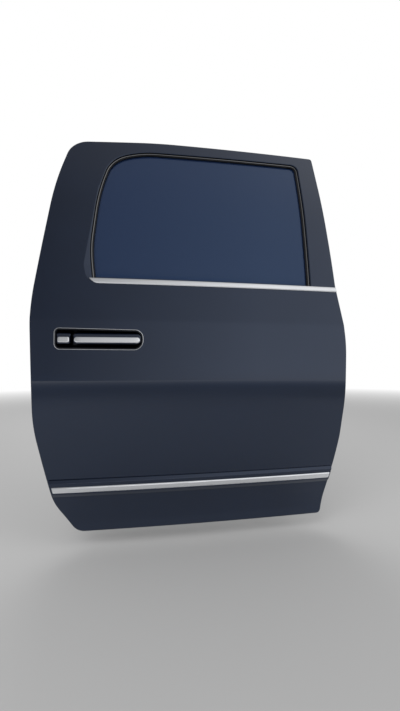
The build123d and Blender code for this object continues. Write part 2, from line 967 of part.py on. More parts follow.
def trim_upper():
    top = belt_height + sill_rise
    rows = [
        (trim_back, upper_trim_bottom, 0),
        (carrier_front + 6, upper_trim_bottom, 6),
        (trim_front + 8, upper_trim_bottom + 46, 40),
        (trim_front + 8, top - 22, 14),
        (trim_front - 4, top, 10),
        (trim_back, top, 0),
    ]
    panel = across(rows) & prism(trim_face)
    inner_side = glass_inset + glass_thickness + 2 * piece_gap + inner_lip_thickness
    sill = belt_span(top - 7, top) & behind(inner_side)
    sill -= inboard_of_door(piece_gap + 1)
    return panel + sill


def trim_insert():
    middle = (insert_bottom + insert_top) / 2
    rear = latch_face_x + insert_setback
    front = release_x - release_length / 2 - insert_gap
    pad = rounded((rear + front) / 2, middle, front - rear, insert_top - insert_bottom, 34)
    return prism(pad, carrier_front + piece_gap, carrier_front + piece_gap + insert_thickness)


armrest_rear = latch_face_x + armrest_rear_setback
armrest_front = hinge_face_x - armrest_front_setback
armrest_back = trim_front + piece_gap
armrest_face = armrest_back + armrest_depth
cup_front = armrest_front - pull_cup_setback
cup_rear = cup_front - pull_cup_length
cup_low = armrest_height - pull_cup_depth


def armrest_base():
    length = armrest_front - armrest_rear
    rows = [
        (armrest_back, armrest_height - armrest_drop, 0),
        (armrest_back + 18, armrest_height - armrest_drop, 12),
        (armrest_face, armrest_height - 20, 12),
        (armrest_face, armrest_height, 3),
        (armrest_back, armrest_height, 0),
    ]
    middle = (armrest_front + armrest_rear) / 2
    plan = Pos(middle, armrest_back + armrest_depth / 2) * RectangleRounded(
        length, armrest_depth + 2 * armrest_corner, armrest_corner
    )
    plan_prism = Pos(0, 0, armrest_height - 2 * over_size) * extrude(plan, amount=4 * over_size)
    body = across(rows) & plan_prism
    return body - cup_block(0)


def cup_block(shrink):
    middle_x = (cup_front + cup_rear) / 2
    middle_y = armrest_back + armrest_depth / 2
    sketch = Pos(middle_x, middle_y) * RectangleRounded(
        cup_front - cup_rear - 2 * shrink,
        armrest_depth - 2 * pull_cup_margin - 2 * shrink,
        pull_cup_corner - shrink,
    )
    return Pos(0, 0, cup_low + shrink) * extrude(sketch, amount=pull_cup_depth + over_size)


def pull_cup():
    liner = cup_block(piece_gap) - cup_block(piece_gap + pull_cup_wall)
    top = armrest_height + pull_cup_lip
    liner &= block(
        (cup_rear - 20, cup_front + 20),
        (armrest_back - 10, armrest_face + 10),
        (cup_low - 20, top),
    )
    return liner


def armrest_pad():
    rear = armrest_rear + armrest_pad_rear_gap
    length = cup_rear - armrest_pad_cup_gap - rear
    sketch = Pos(rear + length / 2, armrest_back + armrest_depth / 2) * RectangleRounded(
        length, armrest_depth - 2 * armrest_pad_margin, armrest_pad_corner
    )
    return Pos(0, 0, armrest_height + piece_gap) * extrude(sketch, amount=armrest_pad_thickness)


switch_x = (cup_front + armrest_front) / 2 - switch_setback


def switch_plate():
    sketch = Pos(switch_x, armrest_back + armrest_depth / 2) * RectangleRounded(
        switch_plate_length, switch_plate_width, switch_plate_corner
    )
    plate = extrude(sketch, amount=switch_plate_thickness)
    return Pos(0, 0, armrest_height + piece_gap) * plate


def window_switch():
    # Rocker with a dished top: along X, height, corner radius
    base = armrest_height + 2 * piece_gap + switch_plate_thickness
    rows = [(-13, 0, 0), (-13, 6, 2), (-2, 4, 8), (13, 9, 2), (13, 0, 0)]
    near = armrest_back + armrest_depth / 2 - switch_width / 2
    return extrude(Pos(switch_x, near, base) * side_face(rows), amount=switch_width, dir=(0, 1, 0))


def release_bezel():
    outer = prism(
        rounded(release_x, release_height, release_length, release_tall, 16),
        carrier_front + piece_gap,
        carrier_front + piece_gap + release_depth,
    )
    dish_length = release_length - 2 * release_wall
    dish = prism(
        rounded(release_x, release_height, dish_length, release_tall - 2 * release_wall, 12),
        carrier_front + piece_gap + release_floor,
        far_inboard,
    )
    return outer - dish


def release_lever():
    back = carrier_front + piece_gap + release_floor + piece_gap
    rows = [
        (0, 0, 0),
        (0, lever_foot, 5),
        (-lever_length, lever_tip, 6),
        (-lever_length - 2, lever_tip - lever_thickness, 0),
        (-14, lever_foot - lever_thickness, 4),
        (-12, 0, 0),
    ]
    front = release_x + release_length / 2 - release_wall - lever_end_gap
    face = Pos(front, back, release_height - lever_tall / 2) * face_from(rows)
    return extrude(face, amount=lever_tall, dir=(0, 0, 1))


def map_pocket_body(wall):
    # The pocket's outside, or its hollow where a wall is given
    rear = latch_face_x + map_pocket_rear_setback + wall
    front = hinge_face_x - map_pocket_front_setback - wall
    back = trim_front + piece_gap
    low = map_pocket_bottom + wall
    high = map_pocket_top
    foot = back + map_pocket_depth * map_pocket_foot_share - wall
    rows = [
        (back, low, 0),
        (foot, low, 0),
        (back + map_pocket_depth - wall, high, 0),
        (back, high, 0),
    ]
    tall = 2 * (high - low)
    corner = map_pocket_corner - wall
    ends = prism(rounded((rear + front) / 2, low + tall / 2, front - rear, tall, corner))
    return across(rows) & ends


def map_pocket():
    return map_pocket_body(0) - map_pocket_body(map_pocket_wall)


def speaker_grille():
    x = hinge_face_x - speaker_setback
    back = trim_front + piece_gap
    disc = standing_disc(speaker_radius, speaker_rise)
    disc += Pos(0, 0, speaker_rise) * Cone(
        speaker_radius,
        speaker_radius - speaker_bevel,
        speaker_crown,
        align=(Align.CENTER, Align.CENTER, Align.MIN),
    )
    return Pos(x, back, speaker_height) * (Rot(-90, 0, 0) * disc)


def lock_knob():
    base = belt_height + sill_rise + piece_gap
    stem = standing_disc(lock_knob_radius, lock_knob_rise)
    stem += standing_disc(lock_collar_radius, lock_collar_rise)
    return Pos(latch_face_x + lock_knob_setback, trim_back + lock_knob_inboard, base) * stem


pieces = {
    "outer_skin": outer_skin(),
    "inner_panel": inner_panel(),
    "window_glass": window_glass(),
    "glass_run": glass_run(),
    "belt_moulding": belt_moulding(),
    "belt_seal_outer": belt_seal_outer(),
    "belt_seal_inner": belt_seal_inner(),
    "side_moulding": side_moulding(),
    "side_moulding_bright": bright_strip(),
    "handle_pocket": handle_pocket(),
    "handle_grip": handle_grip(),
    "handle_cap": handle_cap(),
    "handle_grip_strip": handle_strip(grip_x, grip_length, 7),
    "handle_cap_strip": handle_strip(cap_x, cap_length, 3),
    "check_bracket": check_bracket(),
    "check_arm": check_arm(),
    "check_plate": check_plate(),
    "wiring_grommet": wiring_grommet(),
    "latch": latch(),
    "door_weatherstrip": door_weatherstrip(),
    "trim_lower": trim_lower(),
    "trim_upper": trim_upper(),
    "trim_insert": trim_insert(),
    "armrest_base": armrest_base(),
    "armrest_pad": armrest_pad(),
    "pull_cup": pull_cup(),
    "switch_plate": switch_plate(),
    "window_switch": window_switch(),
    "release_bezel": release_bezel(),
    "release_lever": release_lever(),
    "map_pocket": map_pocket(),
    "speaker_grille": speaker_grille(),
    "lock_knob": lock_knob(),
}

for name, height in (
    ("lower", lower_hinge_height),
    ("upper", lower_hinge_height + hinge_spread),
):
    pieces[f"hinge_{name}_pillar_leaf"] = pillar_leaf(height)
    pieces[f"hinge_{name}_door_leaf"] = door_leaf(height)
    pieces[f"hinge_{name}_pin"] = hinge_pin(height)

os.makedirs("parts", exist_ok=True)
for name, piece in pieces.items():
    export_step(Pos(0, 0, -lower_hinge_height) * piece, f"parts/{name}.step")
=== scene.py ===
import json
from math import acos, cos, pi, radians, sin, tan
import bmesh
import bpy
import numpy as np
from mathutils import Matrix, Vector


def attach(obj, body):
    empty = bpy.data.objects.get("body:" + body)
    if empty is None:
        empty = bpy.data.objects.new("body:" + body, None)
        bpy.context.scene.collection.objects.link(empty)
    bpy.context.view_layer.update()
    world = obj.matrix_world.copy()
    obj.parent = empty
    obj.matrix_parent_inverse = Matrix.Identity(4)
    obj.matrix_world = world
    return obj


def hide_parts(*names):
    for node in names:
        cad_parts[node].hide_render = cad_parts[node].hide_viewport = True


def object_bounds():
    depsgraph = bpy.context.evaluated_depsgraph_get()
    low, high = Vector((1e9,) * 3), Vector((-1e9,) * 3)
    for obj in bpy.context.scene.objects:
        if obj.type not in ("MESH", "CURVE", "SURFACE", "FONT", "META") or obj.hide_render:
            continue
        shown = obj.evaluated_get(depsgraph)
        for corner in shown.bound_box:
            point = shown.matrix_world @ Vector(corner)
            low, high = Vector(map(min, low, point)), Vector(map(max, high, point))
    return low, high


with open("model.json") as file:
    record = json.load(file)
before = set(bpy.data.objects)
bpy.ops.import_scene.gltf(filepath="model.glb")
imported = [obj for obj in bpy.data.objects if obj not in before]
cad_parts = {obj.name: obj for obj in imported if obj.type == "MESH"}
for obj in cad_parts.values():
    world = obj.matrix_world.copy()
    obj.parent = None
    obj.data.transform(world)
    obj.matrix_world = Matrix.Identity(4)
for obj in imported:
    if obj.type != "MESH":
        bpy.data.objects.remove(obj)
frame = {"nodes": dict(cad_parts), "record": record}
cadLow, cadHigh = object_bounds()
nodes = frame["nodes"]
scene = bpy.context.scene
print("frame loaded:", len(nodes), "nodes")


class Link:
    # one output of a node, its first unless another is asked for; arithmetic on it adds Math nodes
    def __init__(self, graph, node, key=0):
        self.graph = graph
        self.node = node
        self.key = key

    def calc(self, operation, other=0.0):
        return self.graph.add("Math", {0: self, 1: other}, operation=operation)

    __getitem__ = lambda self, key: Link(self.graph, self.node, key)
    __add__ = lambda self, other: self.calc("ADD", other)
    __sub__ = lambda self, other: self.calc("SUBTRACT", other)
    __rsub__ = lambda self, other: self * -1.0 + other
    __mul__ = lambda self, other: self.calc("MULTIPLY", other)
    __truediv__ = lambda self, other: self.calc("DIVIDE", other)
    __pow__ = lambda self, other: self.calc("POWER", other)
    atLeast = lambda self, other: self.calc("MAXIMUM", other)
    atMost = lambda self, other: self.calc("MINIMUM", other)


class Graph:
    # the nodes of one material or world
    def __init__(self, tree):
        self.tree = tree
        tree.nodes.clear()

    def add(self, kind, sockets, **settings):
        # any shader node: its type, its sockets' links, colours or numbers, and its settings, which go first
        node = self.tree.nodes.new("ShaderNode" + kind)
        for name, value in settings.items():
            setattr(node, name, value)
        for name, value in sockets.items():
            if isinstance(value, Link):
                self.tree.links.new(value.node.outputs[value.key], node.inputs[name])
            elif isinstance(value, tuple):
                node.inputs[name].default_value = (*value, 1.0)
            else:
                node.inputs[name].default_value = value
        return Link(self, node)

    def blendColours(self, factor, first, second):
        # the Mix node's colours are its inputs 6 and 7 and its output 2
        return self.add("Mix", {"Factor": factor, 6: first, 7: second}, data_type="RGBA")[2]

    def coordinate(self, kind):
        return self.add("TexCoord", {})[kind]

    def parts(self, kind):
        # the X, Y and Z of a texture coordinate
        return self.add("SeparateXYZ", {"Vector": self.coordinate(kind)})

    def noise(self, scale, detail):
        sockets = {"Vector": self.coordinate("Object"), "Scale": scale, "Detail": detail}
        return self.add("TexNoise", sockets)

    def bump(self, height, distance):
        return self.add("Bump", {"Height": height, "Distance": distance, "Strength": 1.0})


def newMaterial(name):
    # an empty material and the graph of its nodes
    material = bpy.data.materials.new(name)
    material.use_nodes = True
    return material, Graph(material.node_tree)


def finish(name, surface, look):
    # a material whose surface function gives the values of its shader's sockets
    material, graph = newMaterial(name)
    shader = graph.add("BsdfPrincipled", surface(graph, look))
    graph.add("OutputMaterial", {"Surface": shader})
    return material


def paint(graph, look):
    # black enamel: faint orange peel under a clear coat, a little haze in its gloss; its blue colour and blue
    # specular tint are painted sky reflection
    haze = graph.noise(look["hazeScale"], detail=4.0)
    peel = graph.noise(look["peelScale"], detail=2.0)
    return {
        "Base Color": graph.blendColours(haze, look["deep"], look["light"]),
        "Roughness": haze * look["hazeSpan"] + look["roughness"],
        "Specular IOR Level": look["specular"],
        "Specular Tint": look["flake"],
        "Coat Weight": look["coat"],
        "Coat Roughness": look["coatRoughness"],
        "Coat IOR": look["coatIor"],
        "Normal": graph.bump(peel, look["peelHeight"]),
    }


# the blue in deep and light and in the specular tint is painted sky reflection on black paint
bodyPaintLook = {
    "deep": (0.0020, 0.0036, 0.0095), "light": (0.0038, 0.0070, 0.0180), "flake": (0.22, 0.46, 1.0),
    "hazeScale": 6.0, "hazeSpan": 0.06, "roughness": 0.10, "specular": 0.5,
    "coat": 1.0, "coatRoughness": 0.015, "coatIor": 1.5, "peelScale": 420.0, "peelHeight": 0.000004,
}
innerPaintLook = dict(
    bodyPaintLook, flake=(0.6, 0.75, 1.0), specular=0.3, roughness=0.32,
    coat=0.35, coatRoughness=0.18, peelHeight=0.00001,
)
hingePaintLook = dict(
    innerPaintLook, flake=(0.8, 0.9, 1.0), roughness=0.38, coat=0.2, coatRoughness=0.25, peelHeight=0.00002,
)
# darker, greyer paint for the handle pocket: painted shade for its recess
shadedPocketLook = dict(
    bodyPaintLook, deep=(0.0012, 0.0014, 0.0022), light=(0.0020, 0.0024, 0.0036), specular=0.1, coat=0.5,
)


def metal(graph, look):
    # fine brushing or smudges vary its gloss and, where asked, its shade
    smudge = graph.noise(look["smudgeScale"], detail=5.0)
    grain = graph.noise(look["grainScale"], detail=2.0)
    return {
        "Base Color": graph.blendColours(smudge, look["dark"], look["bright"]),
        "Metallic": 1.0,
        "Roughness": smudge * look["smudgeSpan"] + look["roughness"],
        "Normal": graph.bump(grain, look["grainHeight"]),
    }


brightTrimLook = {
    "dark": (0.88, 0.90, 0.94), "bright": (0.95, 0.97, 1.0), "smudgeScale": 14.0, "smudgeSpan": 0.06,
    "roughness": 0.05, "grainScale": 600.0, "grainHeight": 0.000002,
}
zincLook = dict(
    brightTrimLook, dark=(0.42, 0.42, 0.40), bright=(0.60, 0.60, 0.57), smudgeScale=90.0,
    smudgeSpan=0.18, roughness=0.28, grainScale=1500.0, grainHeight=0.00002,
)
latchLook = dict(zincLook, dark=(0.34, 0.31, 0.22), bright=(0.55, 0.50, 0.36), smudgeScale=60.0)


def plastic(graph, look):
    # moulded plastic or rubber: pebbled grain, with a mottled tone
    cells = graph.add("TexVoronoi", {
        "Vector": graph.coordinate("Object"), "Scale": look["grainScale"], "Smoothness": look["grainRound"],
    }, feature="SMOOTH_F1")
    mottle = graph.noise(look["mottleScale"], detail=4.0)
    return {
        "Base Color": graph.blendColours(mottle, look["deep"], look["light"]),
        "Roughness": mottle * look["roughSpan"] + look["roughness"],
        "IOR": look["ior"],
        "Specular IOR Level": look["specular"],
        "Normal": graph.bump(cells, look["grainHeight"]),
    }


trimPlasticLook = {
    "deep": (0.026, 0.027, 0.029), "light": (0.042, 0.043, 0.046), "mottleScale": 35.0,
    "grainScale": 900.0, "grainRound": 0.6, "grainHeight": 0.00012,
    "roughness": 0.50, "roughSpan": 0.14, "ior": 1.5, "specular": 0.4,
}
softPlasticLook = dict(
    trimPlasticLook, deep=(0.015, 0.015, 0.017), light=(0.026, 0.026, 0.029),
    grainScale=620.0, grainHeight=0.00018, roughness=0.56,
)
switchLook = dict(trimPlasticLook, grainScale=1600.0, grainHeight=0.00002, roughness=0.34)
rubberLook = dict(
    trimPlasticLook, deep=(0.008, 0.008, 0.009), light=(0.016, 0.016, 0.017),
    grainScale=1400.0, grainHeight=0.00005, roughness=0.58, specular=0.3,
)
glossBeadLook = dict(
    rubberLook, deep=(0.004, 0.004, 0.005), light=(0.007, 0.007, 0.008),
    grainHeight=0.000004, roughness=0.04, roughSpan=0.05, ior=2.1, specular=1.0,
)
threadLook = dict(
    rubberLook, deep=(0.16, 0.16, 0.17), light=(0.26, 0.26, 0.27),
    grainScale=2600.0, grainHeight=0.00008, roughness=0.62,
)


def glass(graph, look):
    # privacy glass: a dark tint that lets a little through, under a clean gloss; the darkness is the glass's
    # own, the blue of the tint and the gloss's blue tint are painted sky reflection
    dust = graph.noise(look["dustScale"], detail=5.0)
    return {
        "Base Color": look["tint"],
        "Roughness": dust * look["dustSpan"] + look["roughness"],
        "IOR": look["ior"],
        "Specular Tint": look["sheen"],
        "Alpha": look["cover"],
    }


# blue in tint and sheen: painted sky reflection; the tint's darkness is the glass's own
privacyGlassLook = {
    "tint": (0.010, 0.021, 0.060), "sheen": (0.42, 0.64, 1.0), "cover": 0.93, "ior": 1.72,
    "roughness": 0.005, "dustScale": 9.0, "dustSpan": 0.02,
}


def vinyl(graph, look):
    # soft trim cover: leather-like cells of two sizes; painted shade makes the pressed lines darker than the
    # tops, and a fine noise varies the tone
    place = graph.coordinate("Object")
    warp = graph.add("TexNoise", {"Vector": place, "Scale": look["warpScale"], "Detail": 2.0})["Color"]
    bent = graph.add("VectorMath", {0: warp, "Scale": look["warp"]}, operation="SCALE")
    moved = graph.add("VectorMath", {0: place, 1: bent}, operation="ADD")
    sockets = {"Vector": moved, "Scale": look["cellScale"]}
    cells = graph.add("TexVoronoi", sockets, feature="DISTANCE_TO_EDGE")
    fine = graph.noise(look["fineScale"], detail=3.0)
    # colour follows the height: painted shade in the pressed lines, random tone from the fine noise
    raised = (cells * look["cellRise"]).atMost(look["cellTop"]) + fine * look["fineRise"]
    return {
        "Base Color": graph.blendColours(raised, look["deep"], look["light"]),
        "Roughness": fine * look["roughSpan"] + look["roughness"],
        "Sheen Weight": look["sheen"],
        "Normal": graph.bump(raised, look["height"]),
    }


vinylLook = {
    "deep": (0.050, 0.050, 0.053), "light": (0.105, 0.105, 0.110), "warpScale": 60.0, "warp": 0.003,
    "cellScale": 420.0, "cellRise": 3.0, "cellTop": 0.6, "fineScale": 1260.0, "fineRise": 0.25,
    "height": 0.00018, "roughness": 0.46, "roughSpan": 0.12, "sheen": 0.1,
}


def grille(graph, look):
    # round holes in staggered rows, sunk, and painted dark as the shade inside them; the sheet between them
    # is moulded plastic
    place = graph.parts("Object")
    across = place["X"] / look["pitch"]
    up = place["Z"] / (look["pitch"] * look["rowStep"])
    shift = up.calc("FLOOR").calc("MODULO", 2.0).calc("ABSOLUTE")
    localX = (across + shift * 0.5).calc("FRACT") - 0.5
    localZ = (up.calc("FRACT") - 0.5) * look["rowStep"]
    away = (localX * localX + localZ * localZ) ** 0.5
    hole = ((look["holeShare"] - away) * look["edge"]).atLeast(0.0).atMost(1.0)
    return {
        "Base Color": graph.blendColours(hole, look["sheet"], look["hole"]),
        "Roughness": hole * look["roughSpan"] + look["roughness"],
        "Normal": graph.bump(1.0 - hole, look["sunk"]),
    }


grilleLook = {
    "pitch": 0.0046, "rowStep": 0.866, "holeShare": 0.34, "edge": 12.0, "sunk": 0.0008,
    # the hole colour is painted shade inside the holes
    "sheet": (0.028, 0.029, 0.031), "hole": (0.002, 0.002, 0.002), "roughness": 0.5, "roughSpan": 0.3,
}

materials = {
    "body_paint": finish("bodyPaint", paint, bodyPaintLook),
    "inner_paint": finish("innerPaint", paint, innerPaintLook),
    "hinge_steel": finish("hingePaint", paint, hingePaintLook),
    "privacy_glass": finish("privacyGlass", glass, privacyGlassLook),
    "seal_rubber": finish("sealRubber", plastic, rubberLook),
    "bright_trim": finish("brightTrim", metal, brightTrimLook),
    "handle_chrome": finish("handleChrome", metal, dict(brightTrimLook, smudgeScale=22.0)),
    "bare_steel": finish("zincPlate", metal, zincLook),
    "latch_steel": finish("latchPlate", metal, latchLook),
    "trim_plastic": finish("trimPlastic", plastic, trimPlasticLook),
    "trim_soft_plastic": finish("softPlastic", plastic, softPlasticLook),
    "trim_vinyl": finish("trimVinyl", vinyl, vinylLook),
    "switch_plastic": finish("switchPlastic", plastic, switchLook),
    "grille_plastic": finish("grillePlastic", grille, grilleLook),
}
beadMaterial = finish("glossBead", plastic, glossBeadLook)
shadedPocketMaterial = finish("pocketPaintedShade", paint, shadedPocketLook)
threadMaterial = finish("seamThread", plastic, threadLook)
slotOf = {part["node"]: part["material_slot"] for part in frame["record"]["subparts"]}
for name, node in nodes.items():
    node.data.materials.clear()
    node.data.materials.append(materials[slotOf[name]])
print("finishes given to", len(nodes), "nodes")


cameraPlace = {
    "place": (-0.7179, -1.2935, 0.2128),  # where the photograph was taken from
    "turn": 11.04, "rise": 0.93,          # degrees towards the front of the vehicle, and up
    "lens": 20.25, "longSide": 36.0,
}


def newObject(name, data):
    # an object in the scene, at the origin
    made = bpy.data.objects.new(name, data)
    scene.collection.objects.link(made)
    return made


def aim(made, place, ahead):
    # stands a camera or lamp at a place, looking ahead
    made.location = place
    made.rotation_mode = "QUATERNION"
    made.rotation_quaternion = ahead.to_track_quat("-Z", "Y")


def makeCamera(look):
    # the photograph's camera, aimed by its turn and rise
    data = bpy.data.cameras.new("photoCamera")
    data.lens = look["lens"]
    data.sensor_width = look["longSide"]
    turn, rise = radians(look["turn"]), radians(look["rise"])
    ahead = Vector((sin(turn) * cos(rise), cos(turn) * cos(rise), sin(rise)))
    scene.camera = newObject("photoCamera", data)
    aim(scene.camera, look["place"], ahead)


studio = {
    "floorDrop": 0.05, "floorSize": 24.0, "floorColour": (0.52, 0.52, 0.52),
    "grainScale": 3.0, "roughSpan": 0.1, "roughness": 0.75,
    "fadeStart": 2.0, "fadeEnd": 7.5,  # metres from the door over which the floor turns to white
    "glossFade": 4.0,                  # metres further out for the floor that gloss shows
    "skyLight": 0.62,
    "middle": 0.62, "dimmest": 0.35, "overhead": 0.40,  # how bright gloss sees the backdrop
    "lamps": [  # name, place, size, watts
        ("keyLamp", (-2.2, -2.6, 2.4), 2.2, 46.0),
        ("fillLamp", (2.2, -2.2, 1.6), 2.4, 20.0),
        ("backLamp", (-0.4, 2.8, 2.2), 2.4, 34.0),
    ],
}


def makeBackdrop(look):
    # white to the eye, an even soft light on matt surfaces, and graded to one side and overhead for gloss
    world = bpy.data.worlds.new("studioWorld")
    scene.world = world
    world.use_nodes = True
    graph = Graph(world.node_tree)
    rays = graph.add("LightPath", {})
    gloss = rays["Is Glossy Ray"].atLeast(rays["Is Transmission Ray"])
    way = graph.parts("Generated")
    aside = (way["X"] + look["middle"]).atLeast(look["dimmest"]).atMost(1.0)
    shade = aside * (1.0 - way["Z"].atLeast(0.0) * look["overhead"])
    level = rays["Is Camera Ray"].atLeast(gloss * shade).atLeast((1.0 - gloss) * look["skyLight"])
    backdrop = graph.add("Background", {"Color": (1.0, 1.0, 1.0), "Strength": level})
    graph.add("OutputWorld", {"Surface": backdrop})


def makeFloor(look):
    # a pale floor that turns to white far from the door, so that no horizon shows
    half, height = look["floorSize"] / 2, cadLow.z - look["floorDrop"]
    mesh = bpy.data.meshes.new("studioFloor")
    corners = [(-half, -half, height), (half, -half, height), (half, half, height), (-half, half, height)]
    mesh.from_pydata(corners, [], [(0, 1, 2, 3)])
    material, graph = newMaterial("floorPaint")
    grain = graph.noise(look["grainScale"], detail=4.0)
    place = graph.parts("Object")
    away = (place["X"] * place["X"] + place["Y"] * place["Y"]) ** 0.5
    rays = graph.add("LightPath", {})
    past = away - look["fadeStart"] - rays["Is Glossy Ray"] * look["glossFade"]
    fade = (past / (look["fadeEnd"] - look["fadeStart"])).atLeast(0.0).atMost(1.0)
    seen = rays["Is Camera Ray"].atLeast(rays["Is Glossy Ray"]).atLeast(rays["Is Transmission Ray"])
    plain = graph.add("BsdfPrincipled", {
        "Base Color": look["floorColour"], "Roughness": grain * look["roughSpan"] + look["roughness"],
    })
    white = graph.add("Emission", {"Color": (1.0, 1.0, 1.0), "Strength": 1.0})
    mixed = graph.add("MixShader", {0: fade * fade * seen, 1: plain, 2: white})
    graph.add("OutputMaterial", {"Surface": mixed})
    mesh.materials.append(material)
    newObject("studioFloor", mesh)


def makeLamps(look):
    # square lamps aimed at the door's middle; gloss shows the plain backdrop in place of their squares
    for name, place, size, watts in look["lamps"]:
        data = bpy.data.lights.new(name, "AREA")
        data.shape = "SQUARE"
        data.size = size
        data.energy = watts
        lamp = newObject(name, data)
        aim(lamp, place, (cadLow + cadHigh) / 2 - Vector(place))
        lamp.visible_glossy = False


makeCamera(cameraPlace)
makeBackdrop(studio)
makeFloor(studio)
makeLamps(studio)
scene.view_settings.view_transform = "Standard"
print("camera, floor and light set")


mm = 0.001
sharpAngle = radians(35)
shape = {  # the door's own sizes in millimetres, heights from its bottom edge
    "rear": -979.7, "front": 20.3, "height": 1277.0, "belt": 757.0, "shoulder": 627.0,
    "skinY": -87.486, "planRadius": 9000.0, "hingeHeight": 290.0,
    "windowRear": -808.2, "windowFront": -87.3, "windowTop": 1228.5, "sealWidth": 9.0,
    "sheet": 1.6, "hemDepth": 5.0, "hemWidth": 9.0,
    "facetWidth": 25.0, "facetSlope": 0.287, "facetReach": 120.0,
    "glassDepth": 14.0, "glassThickness": 4.0, "glassTuck": 8.0, "glassDrop": 70.0,
}
rear, front, belt, top = shape["rear"], shape["front"], shape["belt"], shape["height"]
hinge = shape["hingeHeight"]
middleX = (rear + front) / 2
windowRear, facetStart = shape["windowRear"], shape["windowRear"] - shape["facetWidth"]
doorRows = [  # outline of the door: along, height, corner radius
    (rear + 133, 0, 45), (rear + 66, 86, 150), (rear + 9, 317, 500), (rear - 3, belt - 91, 900),
    (rear + 51, top - 196, 1500), (rear + 96, top - 30, 75), (rear + 380, top - 8, 2000),
    (front - 31, top, 8), (front - 21, belt + 5, 200), (front + 2, 563, 500), (front - 4, 389, 700),
    (front - 24, 257, 300), (front - 89, 0, 14),
]
facetRows = np.array([  # rear edge of the inclined facet behind the window: along, height
    (facetStart + 13, belt - 1), (facetStart + 6, belt + 11), (facetStart, belt + 43),
    (windowRear + 14, belt + 318),
])


def together(*parts):
    # coordinates side by side in a last axis
    return np.stack(np.broadcast_arrays(*parts), axis=-1)


def wholeTurn(count):
    # the angles of points spaced evenly round a circle
    return np.linspace(0, 2 * pi, count, endpoint=False)


def quarterArc(radius, count):
    # a rounded edge as pairs: one falls from the radius to nothing by the sine, one rises by the cosine
    turns = np.linspace(0, pi / 2, count)
    return [(radius * (1 - sin(turn)), radius * (1 - cos(turn))) for turn in turns]


def evenPath(path, step, closed=True):
    # the same line with its points one step apart; a closed one is joined but doesn't repeat its first point
    if closed:
        path = np.vstack([path, path[:1]])
    along = np.concatenate([[0], np.cumsum(np.linalg.norm(np.diff(path, axis=0), axis=1))])
    even = np.linspace(0, along[-1], int(along[-1] / step) + 2)
    line = together(np.interp(even, along, path[:, 0]), np.interp(even, along, path[:, 1]))
    return line[:-1] if closed else line


def roundedPath(rows, step=1.5, closed=True):
    # straight runs joined by tangent arcs: centre plus the start radius swung through each corner's turn
    points = np.array([row[:2] for row in rows], float)
    runs = []
    for index, (corner, row) in enumerate(zip(points, rows)):
        if row[2] == 0:
            runs.append(corner[None])
            continue
        back = points[index - 1] - corner
        ahead = points[(index + 1) % len(rows)] - corner
        backLength, aheadLength = np.linalg.norm(back), np.linalg.norm(ahead)
        back, ahead = back / backLength, ahead / aheadLength
        half = acos(float(np.clip(back @ ahead, -1, 1))) / 2
        tangent = min(row[2] / tan(half), 0.49 * min(backLength, aheadLength))
        bisector = (back + ahead) / np.linalg.norm(back + ahead)
        centre = corner + bisector * tangent / cos(half)
        start = corner + back * tangent - centre
        turn = (pi - 2 * half) * np.sign(back[1] * ahead[0] - back[0] * ahead[1])
        angles = np.linspace(0, turn, max(3, int(abs(turn) * tangent * tan(half) / step) + 2))
        x, y = start[0] * np.cos(angles), start[0] * np.sin(angles)
        runs.append(centre + together(x - start[1] * np.sin(angles), y + start[1] * np.cos(angles)))
    return evenPath(np.vstack(runs), step, closed)


def roundedBox(halfWide, halfTall, radius, step):
    # a rectangle with round corners about the origin
    corners = [(-halfWide, -halfTall), (halfWide, -halfTall), (halfWide, halfTall), (-halfWide, halfTall)]
    return roundedPath([(*corner, radius) for corner in corners], step)


sectionPath = roundedPath([  # depth behind the widest line, height, corner radius
    (20, -60, 0), (32, 46, 180), (9, 170, 900), (-1, 430, 3000), (5, shape["shoulder"], 60),
    (55, belt + 103, 3000), (108, belt + 303, 2000), (210, top + 60, 0),
], 0.5, False)
sectionSlope = np.gradient(sectionPath[:, 0]) / np.gradient(sectionPath[:, 1])


def skinPlace(x, height, depth=0.0):
    # outer surface: its section at mid length, swung round an upright axis one plan radius inboard
    inboard = np.interp(height, sectionPath[:, 1], sectionPath[:, 0]) + depth
    reach = shape["planRadius"] - inboard
    y = shape["skinY"] + shape["planRadius"] - np.sqrt(reach ** 2 - (x - middleX) ** 2)
    return together(x, y, height - hinge) * mm


def facetDepth(x, height):
    # how deep the facet lies: its slope times the way in front of its rear edge
    along, heights = facetRows.T
    within = (height > heights[0]) & (height < heights[-1]) & (x < windowRear + shape["facetReach"])
    return np.where(within, np.maximum(x - np.interp(height, heights, along), 0) * shape["facetSlope"], 0.0)


def skinNormal(x, height, step=0.1):
    # outward direction of the outer surface, from its slope along and up the door
    reach = shape["planRadius"] - np.interp(height, sectionPath[:, 1], sectionPath[:, 0])
    root = np.sqrt(reach ** 2 - (x - middleX) ** 2)
    alongX = (x - middleX) / root + (facetDepth(x + step, height) - facetDepth(x - step, height)) / (2 * step)
    upward = np.interp(height, sectionPath[:, 1], sectionSlope) * reach / root
    upward = upward + (facetDepth(x, height + step) - facetDepth(x, height - step)) / (2 * step)
    normal = together(alongX, -1.0, upward)
    return normal / np.linalg.norm(normal, axis=-1, keepdims=True)


def windowRows(sill):
    # daylight edge of the window down to a given sill: along, height, corner radius
    start, end, high = windowRear, shape["windowFront"], shape["windowTop"]
    return [
        (start + 9 / 85 * (belt + 98 - sill), sill, 0), (start, belt + 98, 500),
        (start + 20, belt + 293, 900), (start + 59, high - 47, 110), (start + 158, high - 12, 300),
        (end, high, 16), (end - 5, belt + 270, 1500), (end - 5 - 12 / 277 * (belt + 270 - sill), sill, 0),
    ]


